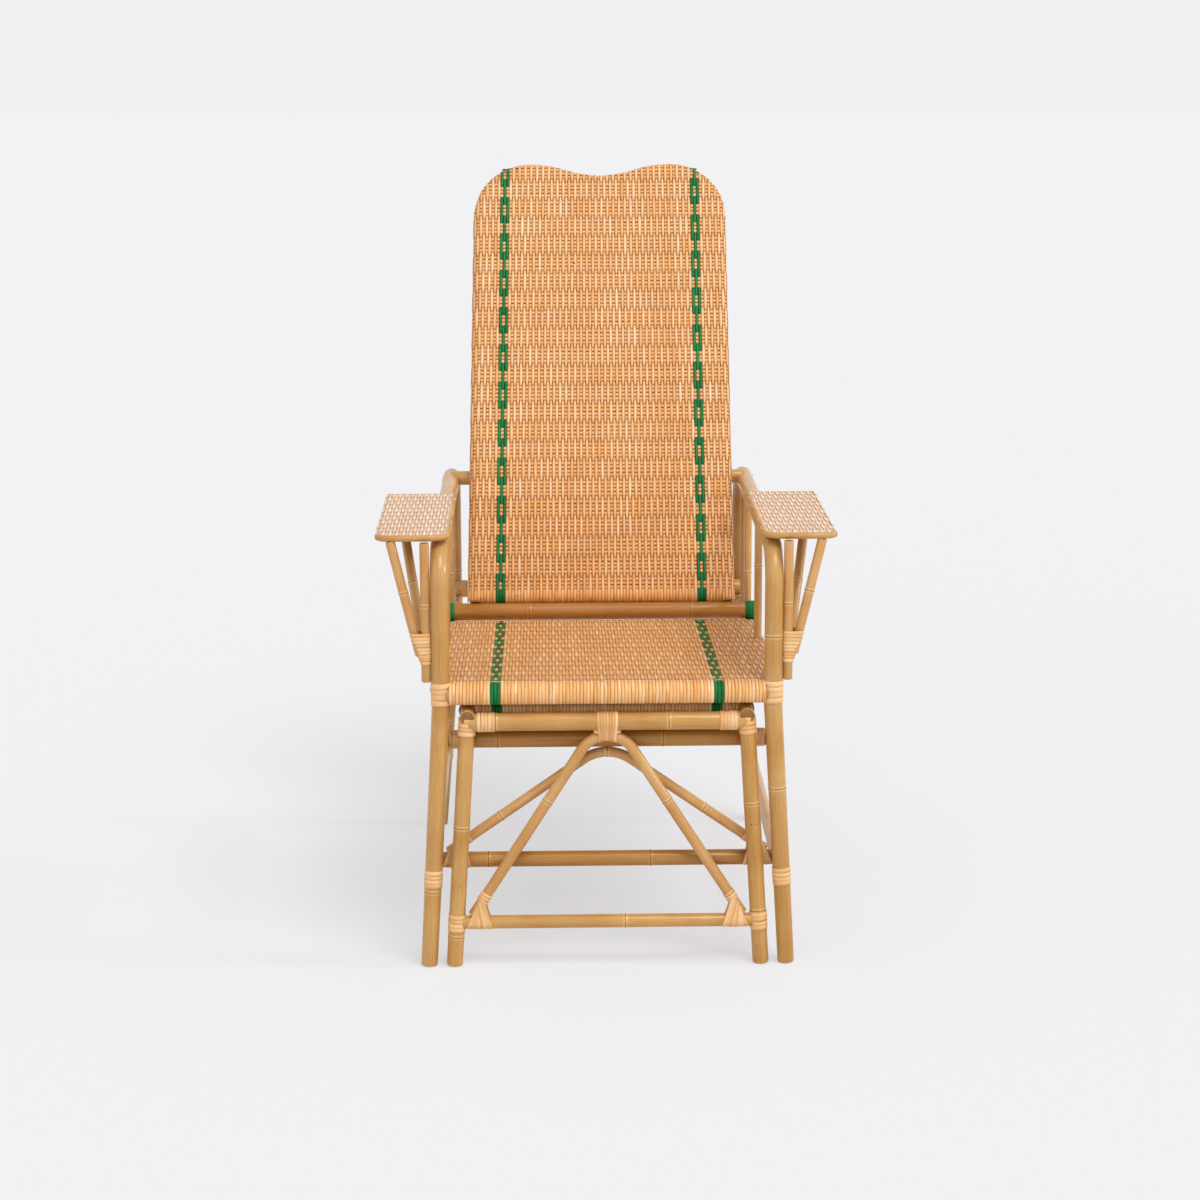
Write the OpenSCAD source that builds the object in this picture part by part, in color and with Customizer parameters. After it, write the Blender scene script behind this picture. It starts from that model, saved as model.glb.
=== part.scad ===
// Rattan lounge chair with a hinged back, a pull-out footrest and two side trays.
// Millimetres. Z is up, X is across and the chair faces towards -Y.
// The origin is on the floor, under the middle of the chair's footprint.

/* [Side hoops] */
// Distance between the two arms, centre to centre
arm_gap = 486; // [460:1:520]
// Height of the arms' top above the floor
arm_height = 640; // [615:1:665]
// Distance from the front legs to the rear legs at arm height
hoop_depth = 702; // [685:1:730]
// Pole diameter of the side hoops
hoop_d = 27; // [25:0.5:29]
// Pole diameter at the feet
foot_d = 24.5; // [22:0.5:26]
// Bend radius of the hoops, to the pole's centre
hoop_bend = 52; // [45:1:60]
// How far below the seat's side rails the legs begin to splay
knee_drop = 24; // [20:1:40]
// How far each front foot stands outside its arm
front_foot_out = 22.5; // [14:0.5:28]
// How far each rear foot stands outside its arm
rear_foot_out = 30; // [20:1:40]
// How far each rear foot stands behind its arm's end
rear_foot_back = 34; // [20:1:45]

/* [Seat] */
// Height of the seat side rails' axis at the front legs
seat_height = 417.5; // [410:0.5:425]
// Slope of the seat, falling to the rear, in degrees
seat_slope = 0.9; // [0:0.1:2]
// Distance from the front legs to the seat's rear rail
seat_depth = 441; // [425:1:443]
// Diameter of the seat's front rail
seat_front_d = 26; // [22:0.5:27]
// Diameter of the seat's side rails
seat_side_d = 22; // [20:0.5:24]
// Diameter of the seat's rear rail
seat_rear_d = 20; // [16:0.5:21]
// Diameter of the support rods under the seat weave
support_d = 14; // [10:0.5:16]
// Distance between the support rods
support_gap = 170; // [120:5:220]

/* [Crossbars] */
// Diameter of the rear crossbar
rear_bar_d = 25; // [22:0.5:27]
// Diameter of the recline bar
recline_d = 23; // [20:0.5:25]
// Height of the recline bar's axis
recline_z = 632; // [624:0.5:636]
// Diameter of the slide bar
slide_d = 25; // [22:0.5:26]
// How far the slide bar's axis lies below the runners' axis
slide_drop = 42; // [40:0.5:48]
// Diameter of the front low crossbar
low_bar_d = 23; // [20:0.5:25]
// Diameter of the side stretchers
stretcher_d = 19; // [16:0.5:22]
// Height of the side stretchers' axis
stretcher_z = 135; // [120:1:150]
// Diameter of the front arch brace
arch_d = 15; // [13:0.5:17]
// Bend radius at the top of the front arch brace
arch_bend = 60; // [50:1:80]

/* [Arm spindles] */
// Diameter of the spindles under the arms
spindle_d = 12; // [10:0.5:14]
// Distance from the front legs to the front spindle
spindle_front_y = 300; // [270:5:330]
// Distance from the front legs to the middle spindle
spindle_middle_y = 520; // [500:2:540]
// Distance from the front legs to the rear spindle
spindle_rear_y = 610; // [600:2:625]

/* [Trays] */
// Length of a tray, front to rear
tray_l = 358; // [320:1:380]
// Width of a tray
tray_w = 110; // [100:1:120]
// Distance from the front legs to a tray's front edge
tray_front = 5; // [0:1:20]
// Height and width of the bent strip round a tray
tray_rim = 9.5; // [8:0.5:11]
// Bend radius of the strip's corner over the arm
tray_corner = 32; // [26:1:40]
// Diameter of a tray's hidden edge rod
tray_rod_d = 6.5; // [5:0.5:7]
// Diameter of the post and struts under a tray
strut_d = 14; // [12:0.5:15]
// How far the lower end of a tray's post stands above the seat's side rails
post_foot_up = 16.5; // [12.5:0.5:27.5]
// How far above the seat's side rails a tray's struts leave the post
strut_foot_up = 49.5; // [37.5:0.5:57.5]
// Distance along the tray from its front edge to the rear strut's top
rear_strut_y = 150; // [120:5:200]

/* [Back] */
// Lean of the back from upright, in degrees
back_lean = 28.2; // [26:0.2:30]
// Width of the back, weave to weave
back_w = 429; // [400:1:434]
// Length from the pivot axis to the top of the humps
back_l = 787; // [740:1:810]
// Depth of the dip between the two humps
dip = 20; // [10:1:28]
// Distance between the two humps
hump_gap = 240; // [220:1:260]
// Pole diameter of the back's hoop and bottom rail
back_pole_d = 20; // [18:0.5:21]
// Diameter of the back's cross rails
cross_rail_d = 12; // [10:0.5:13]
// Diameter of the pivot bar
pivot_d = 27.6; // [25:0.2:29]
// Length of the pivot bar
pivot_l = 502; // [498:1:506]
// Distance from the seat's rear rail to the pivot axis
pivot_behind = 30; // [29:1:39]

/* [Footrest] */
// Distance between the footrest's runners
runner_gap = 409; // [395:1:412]
// How far each footrest foot stands outside its runner
footrest_out = 23.5; // [15:0.5:24]
// How far the runners' axis lies below the seat's side rails
runner_drop = 35.5; // [34.5:0.5:37.5]
// Diameter of the runners
runner_d = 22; // [20:0.5:23]
// Length of the runners
runner_l = 440; // [420:1:460]
// Diameter of the footrest's legs
footrest_leg_d = 24; // [21:0.5:25]
// Diameter of the front bar
front_bar_d = 27; // [24:0.5:28]
// How far the front bar's axis lies below the runners' axis
front_bar_drop = 9; // [7:0.5:12]
// Diameter of the panel's front and rear rails
panel_rail_d = 15; // [12:0.5:16]
// Diameter of the stop bar under the runners' rear ends
stop_d = 20; // [18:0.5:21]
// Diameter of the footrest's low bar
footrest_low_d = 20; // [18:0.5:22]
// Height of the footrest's low bar
footrest_low_z = 67; // [60:1:80]
// Diameter of the footrest's arch brace
footrest_arch_d = 16; // [14:0.5:17]
// Bend radius at the top of the footrest's arch brace
footrest_arch_bend = 44; // [36:1:55]

/* [Weave and peel] */
// Thickness of the seat's and the back's weave
weave = 3.5; // [2.5:0.1:4]
// Thickness of the footrest's and the trays' weave
thin_weave = 2.5; // [1.5:0.1:3]
// Thickness of a peel lashing
lash = 1.8; // [1.4:0.1:2.2]
// Width of the hinge bindings along the pivot bar
binding_w = 15; // [12:1:18]

/* [Fits] */
// Gap left where one pole is coped to another
cope = 0.15; // [0.05:0.05:0.3]
// Clearance between pieces that move past each other
clear = 0.3; // [0.2:0.05:0.5]
// Radial clearance of the pivot bar in its bindings
pivot_fit = 0.15; // [0.1:0.05:0.25]

/* [Hidden] */
$fn = 48;
// Steps round a full bend of a bent rod, and sides of the rod
bend_steps = 10;
sides = 18;
// Reach of the cutters past what they cut, and half a box that holds one side of the chair
over = 40;
far = 1500;
// Turn of a leaning pole that is cut level, which keeps its seam out of the plane it leans in
seam = 45;
// Screws through the poles
screw_d = 4;
screw_head_d = 9;
screw_bite = 22;
// Heights of the lashings round the legs, and lengths of the wraps along the bars
seat_ring_h = 33;
low_ring_h = 26;
rear_ring_h = 46;
rear_wrap_l = 30;
slide_wrap_l = 20;
strut_lash_h = 47;
corner_ring_h = 28;
bar_wrap_l = 26;
centre_lash_w = 30;
// How far a sheet's face lies below the crown of the sleeves round it
sunk = 0.4;
// Swelling of a leg where it bends below the seat
knee_swell = 0.2;
// How far a pole runs on below the floor before it is cut level
sole = 5;
// How far a footrest leg reaches up beside its runner
leg_bite = 3;
// How far a tray reaches over the inside of its arm
tray_lap = 3;
// Half width of a steep arch's level foot, as a share of its radius, with its leg's lean allowed for
arch_spread = 1.32;
// Distances of the struts' tops from a tray's outer edge, and of the front one from its front edge
front_strut_in = 18;
rear_strut_in = 33;
strut_front_in = 9;
arm_x = arm_gap / 2;
arm_z = arm_height - hoop_d / 2;
pivot_y = seat_depth + pivot_behind;
runner_z = seat_height - runner_drop;
front_bar_z = runner_z - front_bar_drop;
slide_z = runner_z - slide_drop;
post_foot_z = seat_height + post_foot_up;
strut_foot_z = seat_height + strut_foot_up;
sheet = weave - cope;
thin_sheet = thin_weave - cope;
seat_weave_r = seat_side_d / 2 + weave;
front_weave_r = seat_front_d / 2 + weave;
rear_weave_r = seat_rear_d / 2 + weave;
front_rail_up = seat_weave_r - front_weave_r;
rear_rail_up = seat_weave_r - rear_weave_r;
support_up = seat_weave_r - sheet - support_d / 2 - cope;
// Ends of the seat weave's sleeves, inside the front lashings and ahead of the hinge bindings
seat_front_half = arm_x - hoop_d / 2 - lash - clear;
side_sleeve_from = hoop_d / 2 + lash + clear;
rear_sleeve_half = arm_x - seat_side_d / 2 - lash - clear;
back_weave_r = back_pole_d / 2 + weave;
runner_weave_r = runner_d / 2 + thin_weave;
panel_weave_r = panel_rail_d / 2 + thin_weave;

// Pivot axis, taken on the seat's sloping side rails, measured from the front legs
pivot_up = (seat_side_d + pivot_d) / 2 + pivot_fit;
pivot_z = seat_height - pivot_y * tan(seat_slope) + pivot_up / cos(seat_slope);
back_reach = pivot_y + (back_l - back_weave_r) * sin(back_lean) + back_weave_r;
// Plane of the front legs, placed so that the footprint is centred on the origin
leg_y = -(back_reach - front_weave_r) / 2;
rear_y = leg_y + hoop_depth;

front_knee = [arm_x, leg_y, seat_height - knee_drop];
rear_knee = [arm_x, rear_y, seat_height - hoop_depth * tan(seat_slope) - knee_drop];
front_foot = [arm_x + front_foot_out, leg_y, 0];
rear_foot = [arm_x + rear_foot_out, rear_y + rear_foot_back, 0];

// Point of a leg's axis at a height, and the leg's radius there
function leg_at(knee, foot, z) = knee + (foot - knee) * (knee.z - z) / knee.z;
function leg_r(knee, z) = (hoop_d + (foot_d - hoop_d) * (knee.z - z) / knee.z) / 2;
function seat_z(y) = seat_height - y * tan(seat_slope);

slide_y = leg_y + leg_r(front_knee, slide_z) + slide_d / 2 + cope;
slide_x = leg_at(front_knee, front_foot, slide_z).x;
low_bar_z = stretcher_z + (stretcher_d + low_bar_d) / 2 + cope;
low_bar_y = leg_y + leg_r(front_knee, low_bar_z) + low_bar_d / 2 + cope;
front_stretch = leg_at(front_knee, front_foot, stretcher_z);
rear_stretch = leg_at(rear_knee, rear_foot, stretcher_z);
rear_bar_y = rear_y - (hoop_d + rear_bar_d) / 2 - cope;
rear_bar_z = seat_z(rear_bar_y - leg_y) + (seat_side_d + rear_bar_d) / 2 / cos(seat_slope) + cope;
front_arch_foot = low_bar_z + low_bar_d / 2 + cope;
front_arch_half = leg_at(front_knee, front_foot, low_bar_z).x - hoop_d / 2 - arch_d / 2;
front_arch_top = slide_z - (slide_d + arch_d) / 2 - cope;

// Recline bar, set against the back's rear face at the stated height
recline_off = back_weave_r + recline_d / 2 + clear;
recline_run = (recline_z - pivot_z + recline_off * sin(back_lean)) / cos(back_lean);
recline_y = leg_y + pivot_y + recline_run * sin(back_lean) + recline_off * cos(back_lean);

// Back, in its own frame: X across, Y to the rear, Z up along the back
back_pole_x = back_w / 2 - back_weave_r;
back_rail_z = pivot_d / 2 + back_weave_r + cope;
hump_z = back_l - back_weave_r;
corner_r = back_pole_x - hump_gap / 2;
wave_turn = 2 * atan(dip / (hump_gap / 2));
wave_r = hump_gap / 4 / sin(wave_turn);
cross_rail_z = [for (part = [1, 2]) back_rail_z + part * (hump_z - dip - back_rail_z) / 3];
back_sheet_y = sunk - back_weave_r;
back_sheet = sheet - sunk - cope;
cross_rail_y = back_sheet_y + back_sheet + cross_rail_d / 2 + 2 * cope;

// Footrest, with its legs against the lashings on the low crossbar
footrest_y = low_bar_y - max(low_bar_d, arch_d) / 2 - cope - lash - clear - footrest_leg_d / 2;
runner_x = runner_gap / 2;
runner_front = footrest_y - footrest_leg_d / 2;
runner_rear = runner_front + runner_l;
// A footrest leg's axis meets its runner's axis, and runs on below the floor before it is cut
footrest_top = [runner_x, footrest_y, runner_z];
footrest_foot = [runner_x + footrest_out, footrest_y, 0];
function footrest_leg_at(z) =
    footrest_foot + (footrest_top - footrest_foot) * z / footrest_top.z;
panel_front_y = footrest_y + front_bar_d / 2 + panel_weave_r + clear;
panel_rear_y = runner_rear - panel_weave_r - stop_d / 2;
stop_y = runner_rear - stop_d / 2;
stop_z = runner_z - (runner_d + stop_d) / 2 - cope;
panel_top = runner_z + runner_weave_r;
footrest_low = footrest_leg_at(footrest_low_z);
footrest_arch_foot = footrest_low_z + footrest_low_d / 2 + cope;
footrest_arch_half = footrest_low.x - footrest_leg_d / 2 - lash - footrest_arch_d / 2 * arch_spread;
footrest_arch_top = front_bar_z - (front_bar_d + footrest_arch_d) / 2 - cope;

// Trays
tray_z = arm_height + cope;
tray_x = arm_x - hoop_d / 2 - tray_lap;
tray_out = tray_x + tray_w;
tray_y = leg_y + tray_front;
tray_sleeve_r = tray_rod_d / 2 + thin_weave / 2;
tray_rod_z = tray_z + tray_sleeve_r;
tray_rod_x = tray_out - tray_sleeve_r;
tray_rod_y = tray_y + tray_l - tray_sleeve_r;
post_x = arm_x + (hoop_d + strut_d) / 2 + cope;

pole_colour = "peru";
rod_colour = "burlywood";
bar_colour = "sienna";
weave_colour = "sandybrown";
peel_colour = "wheat";
green = "darkgreen";
steel = "silver";

// Straight pole between two points, with an optional second diameter and turn about its own axis
module pole(p, q, d, d2 = 0, turn = 0) {
    v = q - p;
    translate(p)
        rotate([0, acos(v.z / norm(v)), atan2(v.y, v.x)]) rotate([0, 0, turn])
            cylinder(h = norm(v), d1 = d, d2 = d2 > 0 ? d2 : d);
}

// A copy on each side of the chair
module both() {
    for (side = [-1, 1]) scale_x(side) children();
}

// Mirror to the left side when side is -1
module scale_x(side) {
    mirror([side < 0 ? 1 : 0, 0, 0]) children();
}

// Front or rear leg from below the floor to the arm's bend
module leg(knee, foot) {
    upright(knee, 0);
    translate(knee) sphere(d = hoop_d + knee_swell);
    pole(leg_at(knee, foot, -sole), knee, 2 * leg_r(knee, -sole), hoop_d, seam);
}

// Upright part of a leg above its knee, as solid or cutter
module upright(knee, grow) {
    translate(knee) cylinder(h = arm_z - hoop_bend - knee.z, d = hoop_d + 2 * grow);
}

// Splayed part of a leg between two heights, as solid or cutter
module splay(knee, foot, low, high, grow = 0) {
    pole(leg_at(knee, foot, low), leg_at(knee, foot, high),
         2 * (leg_r(knee, low) + grow), 2 * (leg_r(knee, high) + grow));
}

// Straight part of the arm, as solid or cutter
module arm(grow = 0) {
    pole([arm_x, leg_y + hoop_bend, arm_z], [arm_x, rear_y - hoop_bend, arm_z], hoop_d + 2 * grow);
}

// Bend of the hoop in the YZ plane
module hoop_bend_at(y, from) {
    translate([arm_x, y, arm_z - hoop_bend]) rotate([0, 90, 0]) rotate([0, 0, from])
        rotate_extrude(angle = 90) translate([hoop_bend, 0]) circle(d = hoop_d);
}

module side_hoop(side) {
    color(pole_colour) scale_x(side) difference() {
        union() {
            leg(front_knee, front_foot);
            leg(rear_knee, rear_foot);
            arm();
            hoop_bend_at(leg_y + hoop_bend, 180);
            hoop_bend_at(rear_y - hoop_bend, 90);
        }
        below_floor();
        recline_screw(cope);
        slide_screw(cope);
    }
}

// Cutter for everything below the floor
module below_floor() {
    translate([-far, -far, -far]) cube([2 * far, 2 * far, far]);
}

// Places children in the seat's sloping frame: Y from the front legs, Z from the side rails' axis
module seat_frame() {
    translate([0, leg_y, seat_height]) rotate([-seat_slope, 0, 0]) children();
}

module front_rail_bar(d, half) {
    seat_frame() pole([-half, 0, front_rail_up], [half, 0, front_rail_up], d);
}

module side_rail_bar(d, from, to) {
    seat_frame() pole([arm_x, from, 0], [arm_x, to, 0], d);
}

module rear_rail_bar(d, half) {
    seat_frame() pole([-half, seat_depth, rear_rail_up], [half, seat_depth, rear_rail_up], d);
}

module seat_front_rail() {
    color(pole_colour) difference() {
        front_rail_bar(seat_front_d, arm_x);
        both() upright(front_knee, cope);
        both() side_rail_bar(seat_side_d + 2 * cope, 0, hoop_depth);
    }
}

module seat_side_rail(side) {
    color(pole_colour) scale_x(side) difference() {
        side_rail_bar(seat_side_d, 0, hoop_depth);
        upright(front_knee, cope);
        upright(rear_knee, cope);
    }
}

module seat_rear_rail() {
    color(pole_colour) difference() {
        rear_rail_bar(seat_rear_d, arm_x);
        both() side_rail_bar(seat_side_d + 2 * cope, 0, hoop_depth);
    }
}

module seat_support_rods() {
    color(rod_colour) difference() {
        both() seat_frame()
            pole([support_gap / 2, 0, support_up], [support_gap / 2, seat_depth, support_up], support_d);
        front_rail_bar(2 * front_weave_r + 2 * cope, arm_x);
        rear_rail_bar(2 * rear_weave_r + 2 * cope, arm_x);
    }
}

module seat_weave() {
    color(weave_colour) {
        seat_frame() translate([-seat_front_half, 0, seat_weave_r - sheet])
            cube([2 * seat_front_half, seat_depth, sheet]);
        seat_frame() translate([-arm_x, side_sleeve_from, seat_weave_r - sheet])
            cube([2 * arm_x, seat_depth - side_sleeve_from, sheet]);
        difference() {
            front_rail_bar(2 * front_weave_r, seat_front_half);
            front_rail_bar(seat_front_d + 2 * cope, arm_x);
        }
        difference() {
            rear_rail_bar(2 * rear_weave_r, rear_sleeve_half);
            rear_rail_bar(seat_rear_d + 2 * cope, arm_x);
        }
        both() difference() {
            side_rail_bar(2 * seat_weave_r, side_sleeve_from, seat_depth);
            side_rail_bar(seat_side_d + 2 * cope, 0, hoop_depth);
            rear_rail_bar(seat_rear_d + 2 * cope, arm_x);
        }
    }
}

module rear_crossbar() {
    color(pole_colour) rear_bar();
}

module recline_bar() {
    color(bar_colour) difference() {
        pole([-arm_x, recline_y, recline_z], [arm_x, recline_y, recline_z], recline_d);
        both() arm(cope);
        both() recline_screw(cope);
    }
}

// Countersunk screw along X, in through the arm's outside
module recline_screw(grow = 0) {
    head = arm_x + hoop_d / 2 - screw_head_d / 4;
    translate([0, recline_y, arm_z + (recline_z - arm_z) / 2]) rotate([0, 90, 0]) {
        translate([0, 0, arm_x - hoop_d / 2 - screw_bite])
            cylinder(h = hoop_d + screw_bite - screw_head_d / 4, d = screw_d + 2 * grow);
        translate([0, 0, head - grow]) cylinder(h = screw_head_d / 4 + grow, d = screw_head_d + 2 * grow);
    }
}

module recline_bar_screws() {
    color(steel) both() recline_screw();
}

// Screw along Y, in through the slide bar's rear face into the front leg
module slide_screw(grow = 0) {
    tail = slide_y + slide_d / 2 - screw_head_d / 4;
    translate([slide_x, 0, slide_z]) rotate([-90, 0, 0]) {
        translate([0, 0, leg_y]) cylinder(h = tail - leg_y, d = screw_d + 2 * grow);
        translate([0, 0, tail - grow]) cylinder(h = screw_head_d / 4 + grow, d = screw_head_d + 2 * grow);
    }
}

module slide_bar() {
    color(pole_colour) difference() {
        pole([-slide_x - hoop_d / 2, slide_y, slide_z], [slide_x + hoop_d / 2, slide_y, slide_z], slide_d);
        both() slide_screw(cope);
    }
}

module slide_bar_screws() {
    color(steel) both() slide_screw();
}

// Sleeve of peel along X on a bar
module wrap_x(from, to, y, z, d, t = lash) {
    difference() {
        pole([from, y, z], [to, y, z], d + 2 * t);
        pole([from - 1, y, z], [to + 1, y, z], d + 2 * cope);
    }
}

module slide_bar_wraps() {
    end = slide_x - hoop_d / 2;
    color(peel_colour) both() wrap_x(end - slide_wrap_l, end - clear, slide_y, slide_z, slide_d,
                                     lash / 2);
}

module front_low_crossbar() {
    half = front_stretch.x + stretcher_d / 2;
    color(pole_colour) pole([-half, low_bar_y, low_bar_z], [half, low_bar_y, low_bar_z], low_bar_d);
}

module stretcher(grow = 0) {
    pole(front_stretch, rear_stretch, stretcher_d + 2 * grow);
}

module side_stretcher(side) {
    color(rod_colour) scale_x(side) difference() {
        stretcher();
        splay(front_knee, front_foot, 0, front_knee.z, cope);
        splay(rear_knee, rear_foot, 0, rear_knee.z, cope);
    }
}

// Slope of an arch brace's leg, from its foot and apex heights, half width and bend radius
function arch_slope(half, rise, r) =
    asin(r / norm([half, r - rise])) - atan2(r - rise, half);

function arc(centre, r, from, to, steps = bend_steps) =
    [for (i = [0 : steps]) centre + r * [cos(from + (to - from) * i / steps),
                                         sin(from + (to - from) * i / steps)]];
function heading(path, i) =
    let (v = path[min(i + 1, len(path) - 1)] - path[max(i - 1, 0)]) v / norm(v);

// One ring of a bent rod in the XZ plane; an end that rests on a bar is cut level
function ring(path, i, r, level) =
    let (c = path[i], t = heading(path, i), cut = level && (i == 0 || i == len(path) - 1))
    [for (k = [0 : sides - 1])
        let (a = 360 * k / sides, off = r * cos(a) * [-t.y, t.x], slide = cut ? off.y / t.y : 0)
        [c.x + off.x - slide * t.x, r * sin(a), c.y + off.y - slide * t.y]];

// Bent rod along a path of [x, z] points at y
module bent_rod(path, d, y, level = false) {
    n = len(path);
    points = [for (i = [0 : n - 1]) for (p = ring(path, i, d / 2, level)) p];
    walls = [for (i = [0 : n - 2]) for (k = [0 : sides - 1])
        let (a = i * sides + k, b = i * sides + (k + 1) % sides)
        each [[a, b, b + sides], [a, b + sides, a + sides]]];
    translate([0, y, 0]) polyhedron(points, concat(walls,
        [[for (k = [sides - 1 : -1 : 0]) k]],
        [[for (k = [0 : sides - 1]) (n - 1) * sides + k]]));
}

// Path of an arch brace: straight legs from (half, foot_z) and a bend of radius r under top_z
function arch_path(half, foot_z, top_z, r) =
    let (slope = arch_slope(half, top_z - foot_z, r))
    concat([[half, foot_z]], arc([0, top_z - r], r, 90 - slope, 90 + slope), [[-half, foot_z]]);

module front_arch_brace() {
    color(rod_colour) bent_rod(arch_path(front_arch_half, front_arch_foot, front_arch_top, arch_bend),
                               arch_d, low_bar_y, true);
}

// Triangular peel lashing that ties an arch's foot to the bar below it: two cheeks, one on each
// side of the pieces, joined by a band under the bar and a band over the arch's foot
module foot_lashing(half, foot_z, slope, d, bar_z, bar_d, y) {
    t = max(d, bar_d) / 2 + cope;
    run = 1.5 * bar_d;
    low = bar_z - bar_d / 2 - cope;
    tip = [half - run * cos(slope), foot_z + run * sin(slope)];
    along = d / 2 * [sin(slope), cos(slope)];
    both() for (side = [-1, 1])
        translate([0, y + side * (t + lash / 2) + lash / 2, 0]) rotate([90, 0, 0]) linear_extrude(lash)
            polygon([[half + d / 2, low], [half - run, low], tip - along, tip + along,
                     [half + d / 2, foot_z + d / 2]]);
    both() translate([half + d / 2 - run, y - t - lash, low - lash]) cube([run, 2 * (t + lash), lash]);
}

module arch_foot_lashings() {
    slope = arch_slope(front_arch_half, front_arch_top - front_arch_foot, arch_bend);
    color(peel_colour) foot_lashing(front_arch_half, front_arch_foot, slope, arch_d, low_bar_z,
                                    low_bar_d, low_bar_y);
}

module spindles(grow = 0) {
    for (y = [spindle_front_y, spindle_middle_y, spindle_rear_y])
        pole([arm_x, leg_y + y, seat_z(y)], [arm_x, leg_y + y, arm_z], spindle_d + 2 * grow);
}

// Spindles stand on the side rail, or on the weave that wraps it
module arm_spindles(side) {
    color(rod_colour) scale_x(side) difference() {
        spindles();
        arm(cope);
        side_rail_bar(seat_side_d + 2 * cope, 0, hoop_depth);
        side_rail_bar(2 * seat_weave_r + 2 * cope, 0, seat_depth + cope);
        seat_frame() cube([arm_x, seat_depth, seat_weave_r + cope]);
    }
}

// Ring of peel round the upright part of a leg
module upright_ring(knee, low, high) {
    translate([knee.x, knee.y, low]) difference() {
        cylinder(h = high - low, d = hoop_d + 2 * lash);
        translate([0, 0, -1]) cylinder(h = high - low + 2, d = hoop_d + 2 * cope);
    }
}

// Ring of peel round the splayed part of a leg
module splay_ring(knee, foot, low, high) {
    difference() {
        splay(knee, foot, low, high, lash);
        splay(knee, foot, low - 2, high + 2, cope);
    }
}

module front_seat_lashings() {
    low = seat_height + front_rail_up - seat_front_d / 2 - lash - 1;
    color(peel_colour) both() difference() {
        upright_ring(front_knee, low, low + seat_ring_h);
        front_rail_bar(seat_front_d + 2 * cope, arm_x);
        side_rail_bar(seat_side_d + 2 * cope, 0, hoop_depth);
        post(cope);
    }
}

module rear_bar(grow = 0) {
    half = arm_x + hoop_d / 2;
    pole([-half, rear_bar_y, rear_bar_z], [half, rear_bar_y, rear_bar_z], rear_bar_d + 2 * grow);
}

module rear_seat_lashings() {
    low = seat_z(hoop_depth) - seat_side_d / 2 - lash;
    color(peel_colour) both() difference() {
        union() {
            translate([arm_x, rear_y, low]) cylinder(h = rear_ring_h, d = hoop_d + 2 * lash);
            side_rail_bar(seat_side_d + 2 * lash, hoop_depth - hoop_d / 2 - rear_wrap_l, hoop_depth);
        }
        upright(rear_knee, cope);
        side_rail_bar(seat_side_d + 2 * cope, 0, hoop_depth);
        rear_bar(cope);
    }
}

module low_lashings(knee, foot) {
    color(peel_colour) both() difference() {
        splay_ring(knee, foot, stretcher_z - low_ring_h / 2, stretcher_z + low_ring_h / 2);
        stretcher(cope);
    }
}

module front_low_lashings() low_lashings(front_knee, front_foot);
module rear_low_lashings() low_lashings(rear_knee, rear_foot);

// Green cross lashing: one ring round the pivot bar's end, one round the side rail below it
module hinge_bindings() {
    color(green) both() difference() {
        union() {
            pole([arm_x - binding_w / 2, leg_y + pivot_y, pivot_z],
                 [arm_x + binding_w / 2, leg_y + pivot_y, pivot_z], pivot_d + 2 * pivot_fit + 2 * lash);
            side_rail_bar(seat_side_d + 2 * lash, pivot_y - binding_w, pivot_y + binding_w);
        }
        pole([0, leg_y + pivot_y, pivot_z], [arm_gap, leg_y + pivot_y, pivot_z], pivot_d + 2 * pivot_fit);
        side_rail_bar(seat_side_d + 2 * cope, 0, hoop_depth);
    }
}

// Plan of a tray's rim: along the arm, round a bend and across the front
module rim_plan() {
    difference() {
        tray_outline(0);
        tray_outline(tray_rim);
        translate([tray_out - tray_rim, tray_y + tray_rim]) square([over, tray_l]);
    }
}

// Outline of a tray, drawn in by a margin at the inner side and the front
module tray_outline(margin) {
    r = tray_corner - margin;
    translate([tray_x + tray_corner, tray_y + tray_corner]) circle(r);
    translate([tray_x + tray_corner, tray_y + margin]) square([tray_w - tray_corner, tray_l - margin]);
    translate([tray_x + margin, tray_y + tray_corner]) square([tray_w - margin, tray_l - tray_corner]);
}

module tray_rim_side(side) {
    color(pole_colour) scale_x(side) translate([0, 0, tray_z]) linear_extrude(tray_rim) rim_plan();
}

// Hidden rod along a tray's outer side and rear
module tray_rod_path(d) {
    corner = [tray_rod_x, tray_rod_y, tray_rod_z];
    pole([tray_rod_x, tray_y + tray_rim + clear, tray_rod_z], corner, d);
    pole(corner, [tray_x + tray_rim + clear, tray_rod_y, tray_rod_z], d);
    translate(corner) sphere(d = d);
}

module tray_rod(side) {
    color(rod_colour) scale_x(side) tray_rod_path(tray_rod_d);
}

module tray_weave(side) {
    color(weave_colour) scale_x(side) difference() {
        union() {
            translate([0, 0, tray_z + tray_rim - thin_weave - 1]) linear_extrude(thin_weave)
                intersection() {
                    tray_outline(tray_rim + cope);
                    translate([tray_x, tray_y]) square([tray_rod_x - tray_x, tray_rod_y - tray_y]);
                }
            tray_rod_path(2 * tray_sleeve_r);
        }
        tray_rod_path(tray_rod_d + 2 * cope);
        translate([tray_x, tray_y, tray_z]) cube([tray_rim + cope, tray_l, over]);
        translate([tray_x, tray_y, tray_z]) cube([tray_w, tray_rim + cope, over]);
    }
}

module post(grow = 0) {
    pole([post_x, leg_y, post_foot_z], [post_x, leg_y, tray_z + over], strut_d + 2 * grow);
}

module front_strut(grow = 0) {
    pole([post_x + strut_d / 2, leg_y, strut_foot_z],
         [tray_out - front_strut_in, tray_y + strut_front_in, tray_z + over / 2],
         strut_d + 2 * grow, 0, seam);
}

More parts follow.
